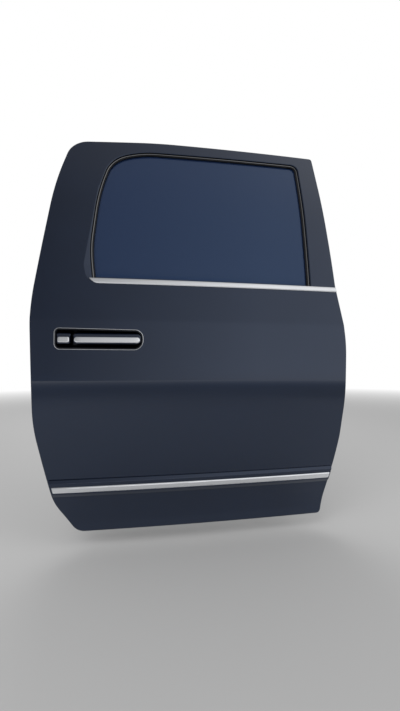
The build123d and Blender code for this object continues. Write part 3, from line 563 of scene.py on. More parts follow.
def grownLoop(loop, amount):
    # a closed loop moved along its own outward normal
    tangent = np.roll(loop, -1, axis=0) - np.roll(loop, 1, axis=0)
    tangent /= np.linalg.norm(tangent, axis=1)[:, None] + 1e-9
    normal = together(-tangent[:, 1], tangent[:, 0])
    turned = np.sum(loop[:, 0] * np.roll(loop[:, 1], -1) - np.roll(loop[:, 0], -1) * loop[:, 1])
    return loop + normal * (-amount if turned > 0 else amount)


def bearings(points, centre):
    # direction and distance of points from a centre
    away = points - centre
    return np.arctan2(away[:, 1], away[:, 0]), np.hypot(away[:, 0], away[:, 1])


def radiusAt(loop, centre, angles):
    # how far a loop lies from a centre in each direction
    found, far = bearings(loop, centre)
    order = np.argsort(found)
    return np.interp(angles, found[order], far[order], period=2 * pi)


def outward(mesh):
    # joins doubled points, drops flattened faces and turns the rest of a closed mesh outwards
    work = bmesh.new()
    work.from_mesh(mesh)
    bmesh.ops.remove_doubles(work, verts=work.verts, dist=2e-6)
    bmesh.ops.dissolve_degenerate(work, edges=work.edges, dist=1e-6)
    bmesh.ops.recalc_face_normals(work, faces=work.faces)
    work.to_mesh(mesh)
    work.free()
    return mesh


def meshFromFaces(name, vertices, faces):
    mesh = bpy.data.meshes.new(name)
    mesh.from_pydata(vertices, [], faces)
    return outward(mesh)


def gridFaces(rows, columns, aroundRows=False):
    # quads of a grid whose columns go round and, where asked, whose rows do too
    index = np.arange(rows * columns).reshape(rows, columns)
    if aroundRows:
        index = np.vstack([index, index[:1]])
    index = np.hstack([index, index[:, :1]])
    return together(index[:-1, :-1], index[1:, :-1], index[1:, 1:], index[:-1, 1:]).reshape(-1, 4)


def meshFromGrid(name, points, aroundRows=False):
    return meshFromFaces(name, points.reshape(-1, 3), gridFaces(*points.shape[:2], aroundRows))


def repeatedFaces(faces, times, count):
    # the faces of one form for every copy of it, each copy having so many points
    return (faces[None] + (np.arange(times) * count)[:, None, None]).reshape(-1, faces.shape[1])


def valuesOf(items, name, width=1):
    # one property of a mesh's vertices, corners or faces as an array
    found = np.empty(len(items) * width)
    items.foreach_get(name, found)
    return found.reshape(-1, width) if width > 1 else found


def newPiece(mesh, slot, replaced=None, body="door", material=None):
    # an object at the origin that rides on a body and wears its slot's finish or one of its own
    mesh.materials.append(materials[slot])
    mesh.shade_smooth()
    mesh.set_sharp_from_angle(angle=sharpAngle)
    piece = newObject(mesh.name, mesh)
    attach(piece, body)
    if replaced:
        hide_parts(replaced)
    if material:
        mesh.materials[0] = material
    return piece


skinLook = {
    "centre": (-440.0, 990.0), "spokeStep": 6.5, "roll": 2.2, "windowRoll": 3.4, "rollRows": 6,
    "skewLimit": 3.0, "returnDepth": 7.7, "facetGap": 2.5,
    "facetRows": 7, "upperRows": 20, "lowerRows": 36, "innerRows": 12,
    "outerGap": 0.12, "innerGap": 0.05,  # least spacing of the rows towards either edge
    "shoulderHeights": (700, 664, 654, 646, 640, 634, 628, 622, 616, 608, 598, 580, 556),
    "tolerance": 0.03, "inward": 0.1, "alike": 0.95,
}


def facetAway(centre, angles):
    # how far the facet's rear edge lies from the centre in each direction, 0 where no spoke meets it
    found, far = bearings(evenPath(facetRows, 2.0, False), centre)
    found = np.mod(found, 2 * pi)
    order = np.argsort(found)
    return np.interp(np.mod(angles, 2 * pi), found[order], far[order], left=0, right=0)


def faceRows(look, low, high, facet, level):
    # rows across the outer face: to the facet's rear edge, on to the shoulder, level with it, and to the rim
    def between(start, end, count):
        return [start + (end - start) * share for share in np.linspace(0, 1, count)]

    toShoulder = between(facet, level[0], look["upperRows"])[1:-1]
    toRim = between(facet, high, look["upperRows"])[1:-1]
    upper = [np.where(level[0] < high, near, np.minimum(near, far)) for near, far in zip(toShoulder, toRim)]
    last = np.minimum(level[-1], high)
    rows = between(low, facet, look["facetRows"]) + upper + level + between(last, high, look["lowerRows"])[1:]
    number = np.arange(len(rows))[:, None]
    face = np.minimum(np.stack(rows), high - look["outerGap"] * (len(rows) - 1 - number))
    return np.maximum(face, low + look["innerGap"] * number)


def skinMesh(look):
    # closed ring round the window: along each spoke the profile runs from the window's return flange over
    # the outer face to the rolled edge, round the hem and back along the inside
    centre = np.array(look["centre"])
    doorLoop = roundedPath(doorRows)
    windowLoop = grownLoop(roundedPath(windowRows(belt + 4)), shape["sealWidth"])
    angles = np.sort(bearings(evenPath(doorLoop, look["spokeStep"]), centre)[0])
    ray = together(np.cos(angles), np.sin(angles))
    outer, inner = radiusAt(doorLoop, centre, angles), radiusAt(windowLoop, centre, angles)

    # how much longer a millimetre across each edge is along a slanting spoke
    outerSkew = outer - radiusAt(grownLoop(doorLoop, -1.0), centre, angles)
    innerSkew = radiusAt(grownLoop(windowLoop, 1.0), centre, angles) - inner
    outerSkew, innerSkew = (np.clip(skew, 1.0, look["skewLimit"]) for skew in (outerSkew, innerSkew))
    roll, windowRoll, flange = look["roll"], look["windowRoll"], look["returnDepth"]
    low, high = inner + windowRoll * innerSkew, outer - roll * outerSkew
    facet = np.maximum(facetAway(centre, angles), low + look["facetGap"])
    down = np.minimum(ray[:, 1], -1e-3)  # a spoke that rises never comes down to the shoulder
    level = [(height - centre[1]) / down for height in look["shoulderHeights"]]

    profile = [(inner, flange)]
    arc = quarterArc(windowRoll, look["rollRows"])
    profile += [(inner + rising * innerSkew, falling) for falling, rising in arc[:-1]]
    profile += [(row, 0.0) for row in faceRows(look, low, high, facet, level)]
    arc = quarterArc(roll, look["rollRows"])
    profile += [(outer - falling * outerSkew, rising) for falling, rising in arc[1:]]
    hem, width, sheet = shape["hemDepth"], shape["hemWidth"], shape["sheet"]
    for inset, depth in (  # round the hem and back under it
        (0.0, hem - 0.8), (0.25, hem - 0.25), (0.8, hem), (width, hem), (width, hem - sheet),
        (sheet, hem - sheet), (sheet, sheet),
    ):
        profile.append((outer - inset * outerSkew, depth))
    for share in np.linspace(0.02, 1, look["innerRows"])[:-1]:
        profile.append((outer + (inner - outer) * share, sheet))
    profile += [(inner + sheet * innerSkew, sheet), (inner + sheet * innerSkew, flange)]

    reach = np.stack([row[0] for row in profile])
    depth = np.stack([np.broadcast_to(row[1], angles.shape) for row in profile])
    x, height = centre[0] + reach * ray[:, 0], centre[1] + reach * ray[:, 1]
    depth = np.where(depth < flange, depth + facetDepth(x, height), depth)
    return meshFromGrid("skinPanel", skinPlace(x, height, depth), True)


handleMiddle = (rear + 196, 570.0)
mouthCorners = [  # of the handle pocket, tighter at the rear: along and up from its middle, corner radius
    (-128.0, -30.0, 16.0), (-128.0, 32.5, 14.0), (128.0, 28.5, 24.0), (128.0, -31.2, 28.0),
]


def handleLoop(growth):
    # mouth of the handle pocket, moved out and its corners rounded by the growth
    rows = [
        (x + growth * np.sign(x), y + growth * np.sign(y), radius + growth) for x, y, radius in mouthCorners
    ]
    return roundedPath(rows, 2.0) + np.array(handleMiddle)


cutLook = {"growth": -3.0, "across": (-130.0, -60.0)}  # from and to, in millimetres along Y


def cutterMesh(look):
    # the handle's mouth seen from the side, carried straight across the skin
    loop = handleLoop(look["growth"])
    count = len(loop)
    ends = [together(loop[:, 0], y, loop[:, 1] - hinge) * mm for y in look["across"]]
    sides = [(i, (i + 1) % count, count + (i + 1) % count, count + i) for i in range(count)]
    caps = [tuple(range(count))[::-1], tuple(range(count, 2 * count))]
    return meshFromFaces("handleCut", np.vstack(ends), sides + caps)


def bake(piece):
    # works a piece's modifiers into its mesh
    evaluated = piece.evaluated_get(bpy.context.evaluated_depsgraph_get())
    piece.data = bpy.data.meshes.new_from_object(evaluated)
    piece.modifiers.clear()


def cutBy(piece, cutter):
    # takes one closed mesh out of another and keeps the result as plain mesh
    tool = newObject("cutter", cutter)
    modifier = piece.modifiers.new("cut", "BOOLEAN")
    modifier.operation = "DIFFERENCE"
    modifier.solver = "EXACT"
    modifier.object = tool
    name = piece.data.name
    bake(piece)
    piece.data.name = name
    bpy.data.objects.remove(tool)
    piece.data.set_sharp_from_angle(angle=sharpAngle)


def smoothFace(mesh, look):
    # corners on the outer surface get that surface's own direction, taken a little inside their face
    corners = valuesOf(mesh.loops, "vertex_index").astype(int)
    sizes = valuesOf(mesh.polygons, "loop_total").astype(int)
    owner = np.repeat(np.arange(len(mesh.polygons)), sizes)
    centres = valuesOf(mesh.polygons, "center", 3)[owner]
    inside = valuesOf(mesh.vertices, "co", 3)[corners] * (1 - look["inward"]) + centres * look["inward"]
    x, height = inside[:, 0] / mm, inside[:, 2] / mm + hinge
    surface = skinPlace(x, height, facetDepth(x, height))
    normal = skinNormal(x, height)
    close = np.abs(inside[:, 1] - surface[:, 1]) < look["tolerance"] * mm
    alike = np.sum(normal * valuesOf(mesh.polygons, "normal", 3)[owner], axis=1) > look["alike"]
    mesh.normals_split_custom_set(np.where((close & alike)[:, None], normal, 0.0).tolist())
    return int(np.sum(close & alike))


skin = newPiece(skinMesh(skinLook), "body_paint", "outer_skin")
cutBy(skin, cutterMesh(cutLook))
smoothed = smoothFace(skin.data, skinLook)
print("outer skin:", len(skin.data.polygons), "faces, smoothed corners", smoothed)


glassLook = {"centre": (-440.0, 960.0), "spokes": 400, "rows": 26, "edgeRadius": 1.2, "edgeRows": 4}


def glassMesh(look):
    # curved pane: rings from its middle to its ground edge on the outside, back to the middle on the inside
    centre = np.array(look["centre"])
    sill = belt - shape["glassDrop"] + shape["glassTuck"]
    loop = grownLoop(roundedPath(windowRows(sill)), shape["glassTuck"])
    angles = np.linspace(-pi, pi, look["spokes"], endpoint=False)
    reach = radiusAt(loop, centre, angles)
    near, far, edge = shape["glassDepth"], shape["glassDepth"] + shape["glassThickness"], look["edgeRadius"]
    shares = np.linspace(0, 1, look["rows"])
    arc = quarterArc(edge, look["edgeRows"])
    rings = [(share * (reach - edge), near) for share in shares]
    rings += [(reach - falling, near + rising) for falling, rising in arc[1:]]
    rings += [(reach - rising, far - falling) for falling, rising in arc]
    rings += [(share * (reach - edge), far) for share in shares[::-1][1:]]
    along = np.stack([ring[0] for ring in rings])
    depth = np.array([ring[1] for ring in rings])[:, None]
    x, height = centre[0] + along * np.cos(angles), centre[1] + along * np.sin(angles)
    return meshFromGrid("doorGlass", skinPlace(x, height, depth))


newPiece(glassMesh(glassLook), "privacy_glass", "window_glass")
print("glass made")


def padForm(look):
    # crowned pad as rings about its middle: back face out to its edge, half a circle round the rolled side,
    # and in over the front, which rises by the crown as one less the share to the fourth power
    slack, roll = look["slack"], look["roll"]
    loop = roundedBox(look["wide"] / 2 - slack, look["tall"] / 2 - slack, look["radius"] - slack, 3.0)
    core = grownLoop(loop, -roll)
    shares, turns = np.linspace(0, 1, look["faceRows"]), np.linspace(0, pi, look["rollRows"])
    side = (look["thick"] - look["crown"] - 2 * slack) / 2
    rings = [(core * share, slack) for share in shares]
    for turn in turns[1:]:
        rings.append((grownLoop(core, roll * sin(turn)), slack + side * (1 - cos(turn))))
    for share in shares[::-1][1:]:
        rings.append((core * share, slack + 2 * side + look["crown"] * (1 - share ** 4)))
    return np.stack([together(flat[:, 0], flat[:, 1], level) for flat, level in rings])


def toDoorSide(points, look):
    # pad coordinates (along, across, out of its base) to metres in the door's frame
    turned = points[..., [0, 2, 1]] if look["faces"] == "inboard" else points
    return (turned + look["middle"] - [0, 0, hinge]) * mm


def fromDoorSide(places, look):
    # the way back, from metres in the door's frame to pad coordinates
    points = places / mm + [0, 0, hinge] - look["middle"]
    return points[..., [0, 2, 1]] if look["faces"] == "inboard" else points


def fillWithPressure(piece, look):
    # cloth pressure swells a pad for some moments
    cloth = piece.modifiers.new("fill", "CLOTH")
    cloth.settings.use_pressure = True
    cloth.settings.uniform_pressure_force = look["pressure"]
    cloth.settings.effector_weights.gravity = 0.0
    cloth.settings.quality = look["quality"]
    cloth.settings.mass = look["mass"]
    cloth.point_cache.frame_start = 1
    cloth.point_cache.frame_end = look["moments"]
    for moment in range(1, look["moments"] + 1):
        scene.frame_set(moment)
    bake(piece)
    scene.frame_set(1)


def swell(piece, look):
    # remeshes a pad evenly and lets cloth pressure fill it, with no point moving past the cap
    remesh = piece.modifiers.new("even", "REMESH")
    remesh.mode = "VOXEL"
    remesh.voxel_size = look["voxel"] * mm
    bake(piece)
    start = valuesOf(piece.data.vertices, "co", 3)
    fillWithPressure(piece, look)
    moved = valuesOf(piece.data.vertices, "co", 3) - start
    far = np.linalg.norm(moved, axis=1, keepdims=True)
    settled = start + moved * np.minimum(1, look["cap"] * mm / np.maximum(far, 1e-9))
    piece.data.vertices.foreach_set("co", settled.ravel())
    smooth = piece.modifiers.new("smooth", "SUBSURF")
    smooth.levels = smooth.render_levels = 1
    bake(piece)


def seamLine(look):
    # the pressed seam, level with the pad's outline
    inset = look["seamInset"]
    return roundedBox(look["wide"] / 2 - inset, look["tall"] / 2 - inset, look["seamRadius"], 2.0)


def seamDistance(points, seam):
    # nearest distance in the pad's plane to the seam, worked in batches
    points = points[:, None, :2]
    batches = [seam[start:start + 200] for start in range(0, len(seam), 200)]
    return np.min([np.linalg.norm(points - batch, axis=2).min(axis=1) for batch in batches], axis=0)


def padPiece(name, look, replaced):
    # swelled pad: its seam is pressed in by a bell curve of the distance to it, faded out towards the back,
    # and every point is kept in its CAD solid's space, with the back flat on the carrier
    piece = newPiece(meshFromGrid(name, toDoorSide(padForm(look), look)), "trim_vinyl", replaced)
    swell(piece, look)
    mesh, thick = piece.data, look["thick"]
    places = fromDoorSide(valuesOf(mesh.vertices, "co", 3), look)
    upper = np.clip((places[:, 2] - thick * look["fadeStart"]) / (thick * look["fadeSpan"]), 0, 1)
    away = seamDistance(places, seamLine(look))
    places[:, 2] -= look["seamDepth"] * np.exp(-(away / look["seamWidth"]) ** 2) * upper
    corner = np.array([look["wide"] / 2, look["tall"] / 2, thick])
    places = np.clip(places, corner * [-1, -1, 0], corner)
    mesh.vertices.foreach_set("co", toDoorSide(places, look).ravel())
    mesh.name = name
    mesh.materials.clear()
    mesh.materials.append(materials["trim_vinyl"])
    mesh.shade_smooth()
    mesh.update()
    return piece


insertLook = {
    "wide": 635.7, "tall": 146.0, "thick": 16.0, "radius": 34.0, "roll": 7.0, "crown": 3.5, "slack": 1.2,
    "faceRows": 14, "rollRows": 15,
    "fadeStart": 0.35, "fadeSpan": 0.2, "frontStart": 0.4,  # shares of the thickness
    "middle": (-559.85, 26.6, 555.0), "faces": "inboard", "voxel": 4.0, "fill": 0.7,
    "pressure": 4.0, "quality": 5, "mass": 0.3, "moments": 20, "cap": 5.0,
    "seamInset": 17.0, "seamRadius": 20.0, "seamDepth": 2.6, "seamWidth": 2.4,
}
armrestLook = dict(
    insertLook, wide=468.7, tall=54.0, thick=16.0, radius=20.0, roll=6.5, crown=3.0, slack=0.8,
    middle=(-591.35, 68.6, 446.3), faces="up", cap=4.0, fill=0.8,
    seamInset=8.5, seamRadius=12.0, seamDepth=2.2, seamWidth=2.0,
)
stitchLook = {
    "pitch": 5.2, "length": 3.6, "radius": 0.42, "sides": 6, "rings": 5, "lift": 0.12, "offset": 3.2,
}


def stitchMesh(name, pad, look, stitch):
    # short bent capsules beside the seam: a circle carried along a straight run whose ends dive
    places = fromDoorSide(valuesOf(pad.data.vertices, "co", 3), look)
    outer = places[places[:, 2] > look["thick"] * look["frontStart"]]
    spots = evenPath(grownLoop(seamLine(look), -stitch["offset"]), stitch["pitch"])
    heads = np.roll(spots, -1, axis=0) - np.roll(spots, 1, axis=0)
    heads /= np.linalg.norm(heads, axis=1)[:, None]
    nearest = np.concatenate([
        np.argmin(np.linalg.norm(outer[None, :, :2] - part[:, None], axis=2), axis=1)
        for part in np.array_split(spots, 12)
    ])
    out = outer[nearest, 2] + stitch["lift"]
    rings, sides, radius = stitch["rings"], stitch["sides"], stitch["radius"]
    turn = wholeTurn(sides)
    along = np.linspace(-1, 1, rings)[:, None]
    width = radius * np.sqrt(np.clip(1 - along ** 8, 0.04, 1))
    run, sideways = along * stitch["length"] / 2 + 0 * turn, width * np.cos(turn)
    lift = width * np.sin(turn) - along ** 2 * radius * 1.2
    heads, spots = heads[:, None, None], spots[:, None, None]
    across = together(-heads[..., 1], heads[..., 0])
    plane = spots + heads * run[..., None] + across * sideways[..., None]
    points = together(plane[..., 0], plane[..., 1], out[:, None, None] + lift)
    caps = np.array([[0, 1, 2, 3], [0, 3, 4, 5], [3, 2, 1, 0], [5, 4, 3, 0]])
    caps[2:] += (rings - 1) * sides
    faces = repeatedFaces(np.vstack([gridFaces(rings, sides), caps]), len(points), rings * sides)
    return meshFromFaces(name, toDoorSide(points, look).reshape(-1, 3), faces)


insertPad = padPiece("insertPad", insertLook, "trim_insert")
armrestPad = padPiece("armrestPad", armrestLook, "armrest_pad")
for name, pad, padLook in (
    ("insertStitches", insertPad, insertLook), ("armrestStitches", armrestPad, armrestLook),
):
    newPiece(stitchMesh(name, pad, padLook, stitchLook), "trim_vinyl", material=threadMaterial)
print("pads:", len(insertPad.data.polygons), len(armrestPad.data.polygons), "faces")


beadLook = {"offset": 5.6, "width": 4.6, "depth": 8.0, "proud": 3.2, "sink": 0.3, "round": 0.8, "sides": 14}


def carried(name, loop, section):
    # a closed section, its points given as way outwards and depth, carried round a loop on the outer surface
    rings = [(grownLoop(loop, across), depth) for across, depth in section]
    points = [skinPlace(ring[:, 0], ring[:, 1], depth) for ring, depth in rings]
    return meshFromGrid(name, np.stack(points, axis=1), True)


def beadMesh(look):
    # glossy bead on the glass channel: a flattened circle carried round the window just inside the flange
    loop = grownLoop(roundedPath(windowRows(belt - 2), 4.0), look["offset"])
    tall, foot = look["proud"] + look["sink"], look["depth"] + look["sink"]
    return carried("windowBead", loop, [
        (look["width"] / 2 * cos(turn), foot - tall * max(sin(turn), 0) ** look["round"])
        for turn in wholeTurn(look["sides"])
    ])


newPiece(beadMesh(beadLook), "seal_rubber", material=beadMaterial)

handleLook = {
    "turn": -0.0338, "lean": -0.0304,
    "rim": 1.5, "rimWidth": 5.4, "rimRound": 0.6, "lip": 0.2, "depth": 30.0, "wall": 2.0, "taper": 0.2126,
    "floorRadius": 5.0, "floorSpread": 4.5, "blend": 6.0,
    "floorRows": 16, "filletRows": 7, "wallRows": 9, "rimRows": 17, "backRows": 8,
    "line": 0.9, "lineOut": -0.1, "lineLift": 0.3, "lineSides": 12,
    "barRows": 34, "barHeight": 31.0, "rise": 1.5, "flat": 18.0, "proud": 7.0, "bevel": 2.5, "slope": 9.0,
    "endBevel": 3.0, "endSlope": 1.6, "sharpness": 2.2, "back": 6.0, "sideStep": 0.6, "backStep": 0.3,
    "backScale": (0.99, 0, 0.95), "legHalf": 8.0, "legCorner": 4.0,
    "legRings": [  # scale, depth
        (0.02, 4.0), (1.0, 4.0), (1.0, 27.5), (1.1, 29.0), (1.2, 29.9), (0.02, 29.9),
    ],
    "stripRows": 22, "strip": 1.2, "stripHeight": 16.0, "stripCrown": 0.3, "stripSink": 0.4,
}


def handlePlace(points):
    # handle coordinates (along, into the door, up) to metres in the door's frame
    along, inward, up = points[..., 0], points[..., 1], points[..., 2]
    start = skinPlace(*handleMiddle) / mm
    turn, lean = handleLook["turn"], handleLook["lean"]
    x = start[0] + along - turn * inward
    y = start[1] + inward + turn * along - lean * up
    return together(x, y, start[2] + up + lean * inward) * mm


def pocketMesh(look):
    # dish as rings about its middle: floor, fillet, sloping wall, rounded rim that stands on the skin, back;
    # it follows the door's curve at the skin and turns flat over the blend depth
    base = handleLoop(0.0)
    middle = base.mean(axis=0)
    tall, radius, spread = look["depth"], look["floorRadius"], look["floorSpread"]
    mouth, wall, taper, lip = -look["rimWidth"], look["wall"], look["taper"], look["lip"]
    floor = mouth - taper * tall
    rings = [(share, floor - spread, tall) for share in np.linspace(0, 1, look["floorRows"])]
    for turn in np.linspace(0, pi / 2, look["filletRows"])[1:]:
        rise = radius * (1 - cos(turn))
        rings.append((1, floor - spread * (1 - sin(turn)) + taper * rise, tall - rise))
    for share in np.linspace(0, 1, look["wallRows"])[1:]:
        deep = (tall - radius) * (1 - share) + lip * share
        rings.append((1, mouth - taper * deep, deep))
    for turn in np.linspace(0, pi, look["rimRows"]):
        lift = (look["rim"] + lip) * sin(turn) ** look["rimRound"]
        rings.append((1, mouth * (1 + cos(turn)) / 2, lip - lift))
    rings += [(1, -3.1, 0.15), (1, -3.5, 1.0), (1, -3.6, 3.0)]  # behind the rim, down the back, to its middle
    rings += [(1, floor + wall + 3.0, tall - 8), (1, floor + wall, tall + wall - 2)]
    rings += [(share, floor + wall - 3, tall + wall) for share in np.linspace(1, 0, look["backRows"])]
    rows = []
    for share, growth, deep in rings:
        loop = middle + (grownLoop(base, growth) - middle) * share
        curved = skinPlace(loop[:, 0], loop[:, 1], deep)
        flat = handlePlace(together(loop[:, 0] - handleMiddle[0], deep, loop[:, 1] - handleMiddle[1]))
        rows.append(curved + (flat - curved) * min(max(deep / look["blend"], 0), 1))
    return meshFromGrid("handlePocket", np.stack(rows))


def rimHighlightMesh(look):
    # painted highlight round the pocket: a fine chrome circle carried round the outer foot of its rim stands
    # in for the light on the rim's body-coloured edge
    line, out, lift = look["line"], look["lineOut"], look["lineLift"]
    return carried("pocketRimHighlight", handleLoop(0.0), [
        (out + line * cos(turn), -lift - line * sin(turn)) for turn in wholeTurn(look["lineSides"])
    ])


def barFront(length, radius, middle, look):
    # rings of a bar's front: a flat face, a long slope above it, and bevels below and at the ends; it is the
    # largest of the four with its creases rounded, the log of the sum of their powers
    tall, face, bevel, sharp = look["barHeight"], -look["proud"], look["bevel"], look["sharpness"]
    share = 1 - (1 - np.linspace(0, 1, look["barRows"])) ** 1.6
    inside = share[:, None, None] * roundedBox(length / 2, tall / 2, radius, 1.6)
    along, up = inside[..., 0], inside[..., 1]
    low = -tall / 2
    upper = face + (up - (low + bevel + look["flat"])) * look["slope"] / (tall - bevel - look["flat"])
    lower = face + (low + bevel - up)
    ends = face + (np.abs(along) - (length / 2 - look["endBevel"])) * look["endSlope"]
    most = np.log(sum(np.exp(sharp * level) for level in (face, upper, lower, ends))) / sharp
    return together(along + middle, np.minimum(most, look["back"]), up + look["rise"])


def barMesh(name, length, radius, middle, legs, look):
    # a bar closed behind its front, and its legs to the pocket's floor
    rings = barFront(length, radius, middle, look)
    rim, heart, back = rings[-1], np.array([middle, 0, look["rise"]]), look["back"]
    side = [rim * [1, 0, 1] + [0, y, 0] for y in (back - look["sideStep"], back)]
    inner = (rim - heart) * look["backScale"] + [0, back + look["backStep"], 0]
    behind = [inner * [share, 1, share] + heart for share in (1, 0.5, 0.0)]
    forms = [np.concatenate([rings, np.stack(side + behind)])]
    for place, long in legs:
        foot = roundedBox(long / 2, look["legHalf"], look["legCorner"], 1.5)
        forms.append(np.stack([
            together(foot[:, 0] * scale + place, deep, foot[:, 1] * scale + look["rise"])
            for scale, deep in look["legRings"]
        ]))
    vertices, faces = [], []
    for rings in forms:
        faces.append(gridFaces(*rings.shape[:2]) + sum(len(part) for part in vertices))
        vertices.append(handlePlace(rings).reshape(-1, 3))
    return meshFromFaces(name, np.vstack(vertices), np.vstack(faces))


def stripMesh(name, length, radius, middle, look):
    # slim crowned strip on the bar's flat: rings whose height falls away as the share to a high power
    tall, face = look["stripHeight"], -look["proud"]
    share = 1 - (1 - np.linspace(0, 1, look["stripRows"])) ** 2
    inside = share[:, None, None] * roundedBox(length / 2, tall / 2, radius, 1.2)
    up = inside[..., 1]
    lift = look["strip"] * np.sqrt(np.clip(1 - share ** 12, 0, 1))[:, None]
    lift = lift - look["stripCrown"] * (2 * up / tall) ** 2
    centre = look["rise"] - look["barHeight"] / 2 + look["bevel"] + look["flat"] / 2
    crown = together(inside[..., 0] + middle, face - np.maximum(lift, -0.05), up + centre)
    base = crown[-1] * [1, 0, 1] + [0, face + look["stripSink"], 0]
    pole = base * 0 + [middle, face + look["stripSink"], centre]
    return meshFromGrid(name, handlePlace(np.concatenate([crown, base[None], pole[None]])))


# the pocket wears the darker paint, painted shade for its recess
newPiece(pocketMesh(handleLook), "body_paint", "handle_pocket", material=shadedPocketMaterial)
# a chrome line as painted highlight on the pocket's rim
newPiece(rimHighlightMesh(handleLook), "handle_chrome")
gripMiddle, capMiddle = 23.5, -101.0
for name, node, length, radius, middle, legs in (  # each leg: its place, its length
    ("gripBar", "handle_grip", 195.0, 13.0, gripMiddle, [(-59.0, 12.0), (106.0, 12.0)]),
    ("gripCap", "handle_cap", 38.0, 5.0, capMiddle, [(-101.0, 20.0)]),
):
    newPiece(barMesh(name, length, radius, middle, legs, handleLook), "body_paint", node)
for name, node, length, radius, middle in (
    ("gripStrip", "handle_grip_strip", 189.0, 7.9, gripMiddle),
    ("capStrip", "handle_cap_strip", 32.0, 4.0, capMiddle),
):
    newPiece(stripMesh(name, length, radius, middle, handleLook), "handle_chrome", node)
print("handle made")


bulbLook = {
    "width": 10.0, "height": 12.0, "gap": 0.3, "frameDepth": 38.0, "innerFace": 16.0,
    "opening": 0.28, "rows": 17,
}
latchSide, hingeSide = rear + 70, -53.0
sealRows = [  # outline of the door seal: along, height, corner radius
    (rear + 190, 46, 50), (rear + 134, 112, 120), (latchSide, 310, 250), (latchSide, 640, 400),
    (rear + 76, top - 212, 1500), (rear + 116, top - 51, 56), (rear + 380, top - 25, 2000),
    (front - 48, top - 17, 16), (front - 40, belt + 43, 80), (hingeSide, 700, 60),
    (hingeSide, 190, 180), (front - 150, 46, 26),
]


def bulbMesh(look):
    # door seal: a flat foot and a round bulb above a slight waist, carried round the panel's inner face
    half, tall = look["width"] / 2, look["height"]
    loop = grownLoop(roundedPath(sealRows, 5.0), -half)
    turn = np.linspace(-look["opening"] * pi, (1 + look["opening"]) * pi, look["rows"])
    bulb = zip((half - 0.1) * np.cos(turn), tall - half + (half - 0.05) * np.sin(turn))
    foot = [(-half * 0.86, 2.0), (-half, 0.9), (-half, 0.0), (half, 0.0), (half, 0.9), (half * 0.86, 2.0)]
    rows = []
    for across, lift in [*bulb, *foot]:
        ring = grownLoop(loop, across)
        face = skinPlace(ring[:, 0], ring[:, 1], look["frameDepth"])
        face[:, 1] = np.maximum(face[:, 1], look["innerFace"] * mm) + (look["gap"] + lift) * mm
        rows.append(face)
    return meshFromGrid("doorSeal", np.stack(rows), True)


newPiece(bulbMesh(bulbLook), "seal_rubber", "door_weatherstrip")


def turnedForm(profile, hexRows=(), lobeRows=(), sides=36, lobeDepth=0.16):
    # rings about an axis; a hexagon's radius is its half width over the cosine of the angle from the flat's
    # middle, and a lobed recess swings its radius with the cosine of six times the angle
    angle = wholeTurn(sides)
    rows = []
    for index, (radius, height) in enumerate(profile):
        if index in hexRows:
            radius = radius / np.cos(np.mod(angle + pi / 6, pi / 3) - pi / 6)
        if index in lobeRows:
            radius = radius * (1 + lobeDepth * np.cos(6 * angle))
        rows.append(together(radius * np.cos(angle), radius * np.sin(angle), height))
    return np.stack(rows)


def repeated(name, form, places, direction):
    # the same form set at several places (mm, heights from the door's edge) with its axis along a direction
    axis = np.array(direction, float)
    side = np.cross(axis, [0, 0, 1.0])
    local = form.reshape(-1, 3) @ np.stack([side, np.cross(axis, side), axis])
    spots = np.array(places, float) - [0, 0, hinge]
    points = (spots[:, None] + local) * mm
    faces = repeatedFaces(gridFaces(*form.shape[:2]), len(spots), len(local))
    return meshFromFaces(name, points.reshape(-1, 3), faces)


boltLook = {"flange": 8.0, "across": 6.5, "head": 6.8, "shank": 4.1}


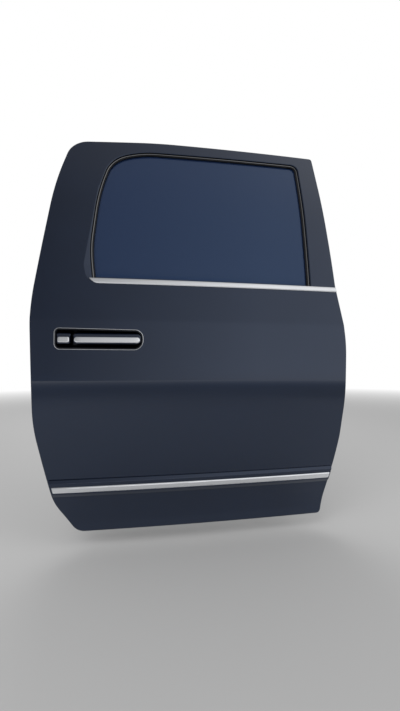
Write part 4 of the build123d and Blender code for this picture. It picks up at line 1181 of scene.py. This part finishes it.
def boltForm(look, grip, scale=1.0):
    # flanged hexagon bolt head with a dished top, and the end of its shank
    flange, across, head, shank = (look[key] * scale for key in ("flange", "across", "head", "shank"))
    return turnedForm([
        (0.01, -grip), (shank - 0.4, -grip), (shank, 0.4 - grip), (shank, 0), (flange - 0.3, 0),
        (flange, 0.35), (flange, 1.0), (flange - 1.0, 1.7), (across, 2.4), (across, head - 0.9),
        (across * 0.93, head - 0.25), (across * 0.8, head), (across * 0.55, head - 0.1),
        (across * 0.45, head - 0.7), (0.01, head - 0.8),
    ], hexRows=(8, 9, 10))


def spread(x, y, middles, apart):
    # places above and below each middle height
    return [(x, y, middle + side * apart) for middle in middles for side in (-1, 1)]


lowHead = turnedForm([  # low heads here, because the skin's front edge swings close past them
    (0.01, -6.6), (3.7, -6.6), (4.1, -6.2), (4.1, 0), (7.8, 0), (8.0, 0.5), (7.5, 1.9), (5.9, 2.9),
    (4.2, 3.2), (3.2, 3.1), (2.8, 1.1), (0.01, 0.9),
], lobeRows=(9, 10))
screwForm = turnedForm([
    (0.01, -1.5), (3.0, -1.5), (3.0, 0), (6.2, 0), (6.5, 0.4), (6.1, 1.5), (4.8, 2.5), (3.4, 2.8),
    (2.6, 2.7), (2.3, 0.9), (0.01, 0.7),
], lobeRows=(8, 9))
smallBolt = dict(boltLook, shank=4.2)
hinges, check = (290.0, 600.0), (440.0,)
latchPlaces = [(-946.2, -36.0, 459.0), (-946.2, -36.0, 401.0), (-946.2, 4.0, 459.0)]
for name, form, places, direction, slot, body in (
    ("pillarBolts", lowHead, spread(0.0, -7.0, hinges, 22.0), (0, -1, 0), "bare_steel", "pillar_side"),
    ("leafBolts", boltForm(boltLook, 3.0), spread(-35.0, -30.0, hinges, 26.0), (1, 0, 0),
     "bare_steel", "door"),
    ("checkBolts", boltForm(smallBolt, 3.8, 0.68), spread(-9.0, -4.0, check, 17.0), (0, -1, 0),
     "bare_steel", "pillar_side"),
    ("checkPlateBolts", boltForm(smallBolt, 1.8, 0.66), spread(-39.0, -17.0, check, 21.5), (1, 0, 0),
     "bare_steel", "door"),
    ("latchScrews", screwForm, latchPlaces, (-1, 0, 0), "latch_steel", "door"),
):
    newPiece(repeated(name, form, places, direction), slot, body=body)
print("seal, bolts and screws made")
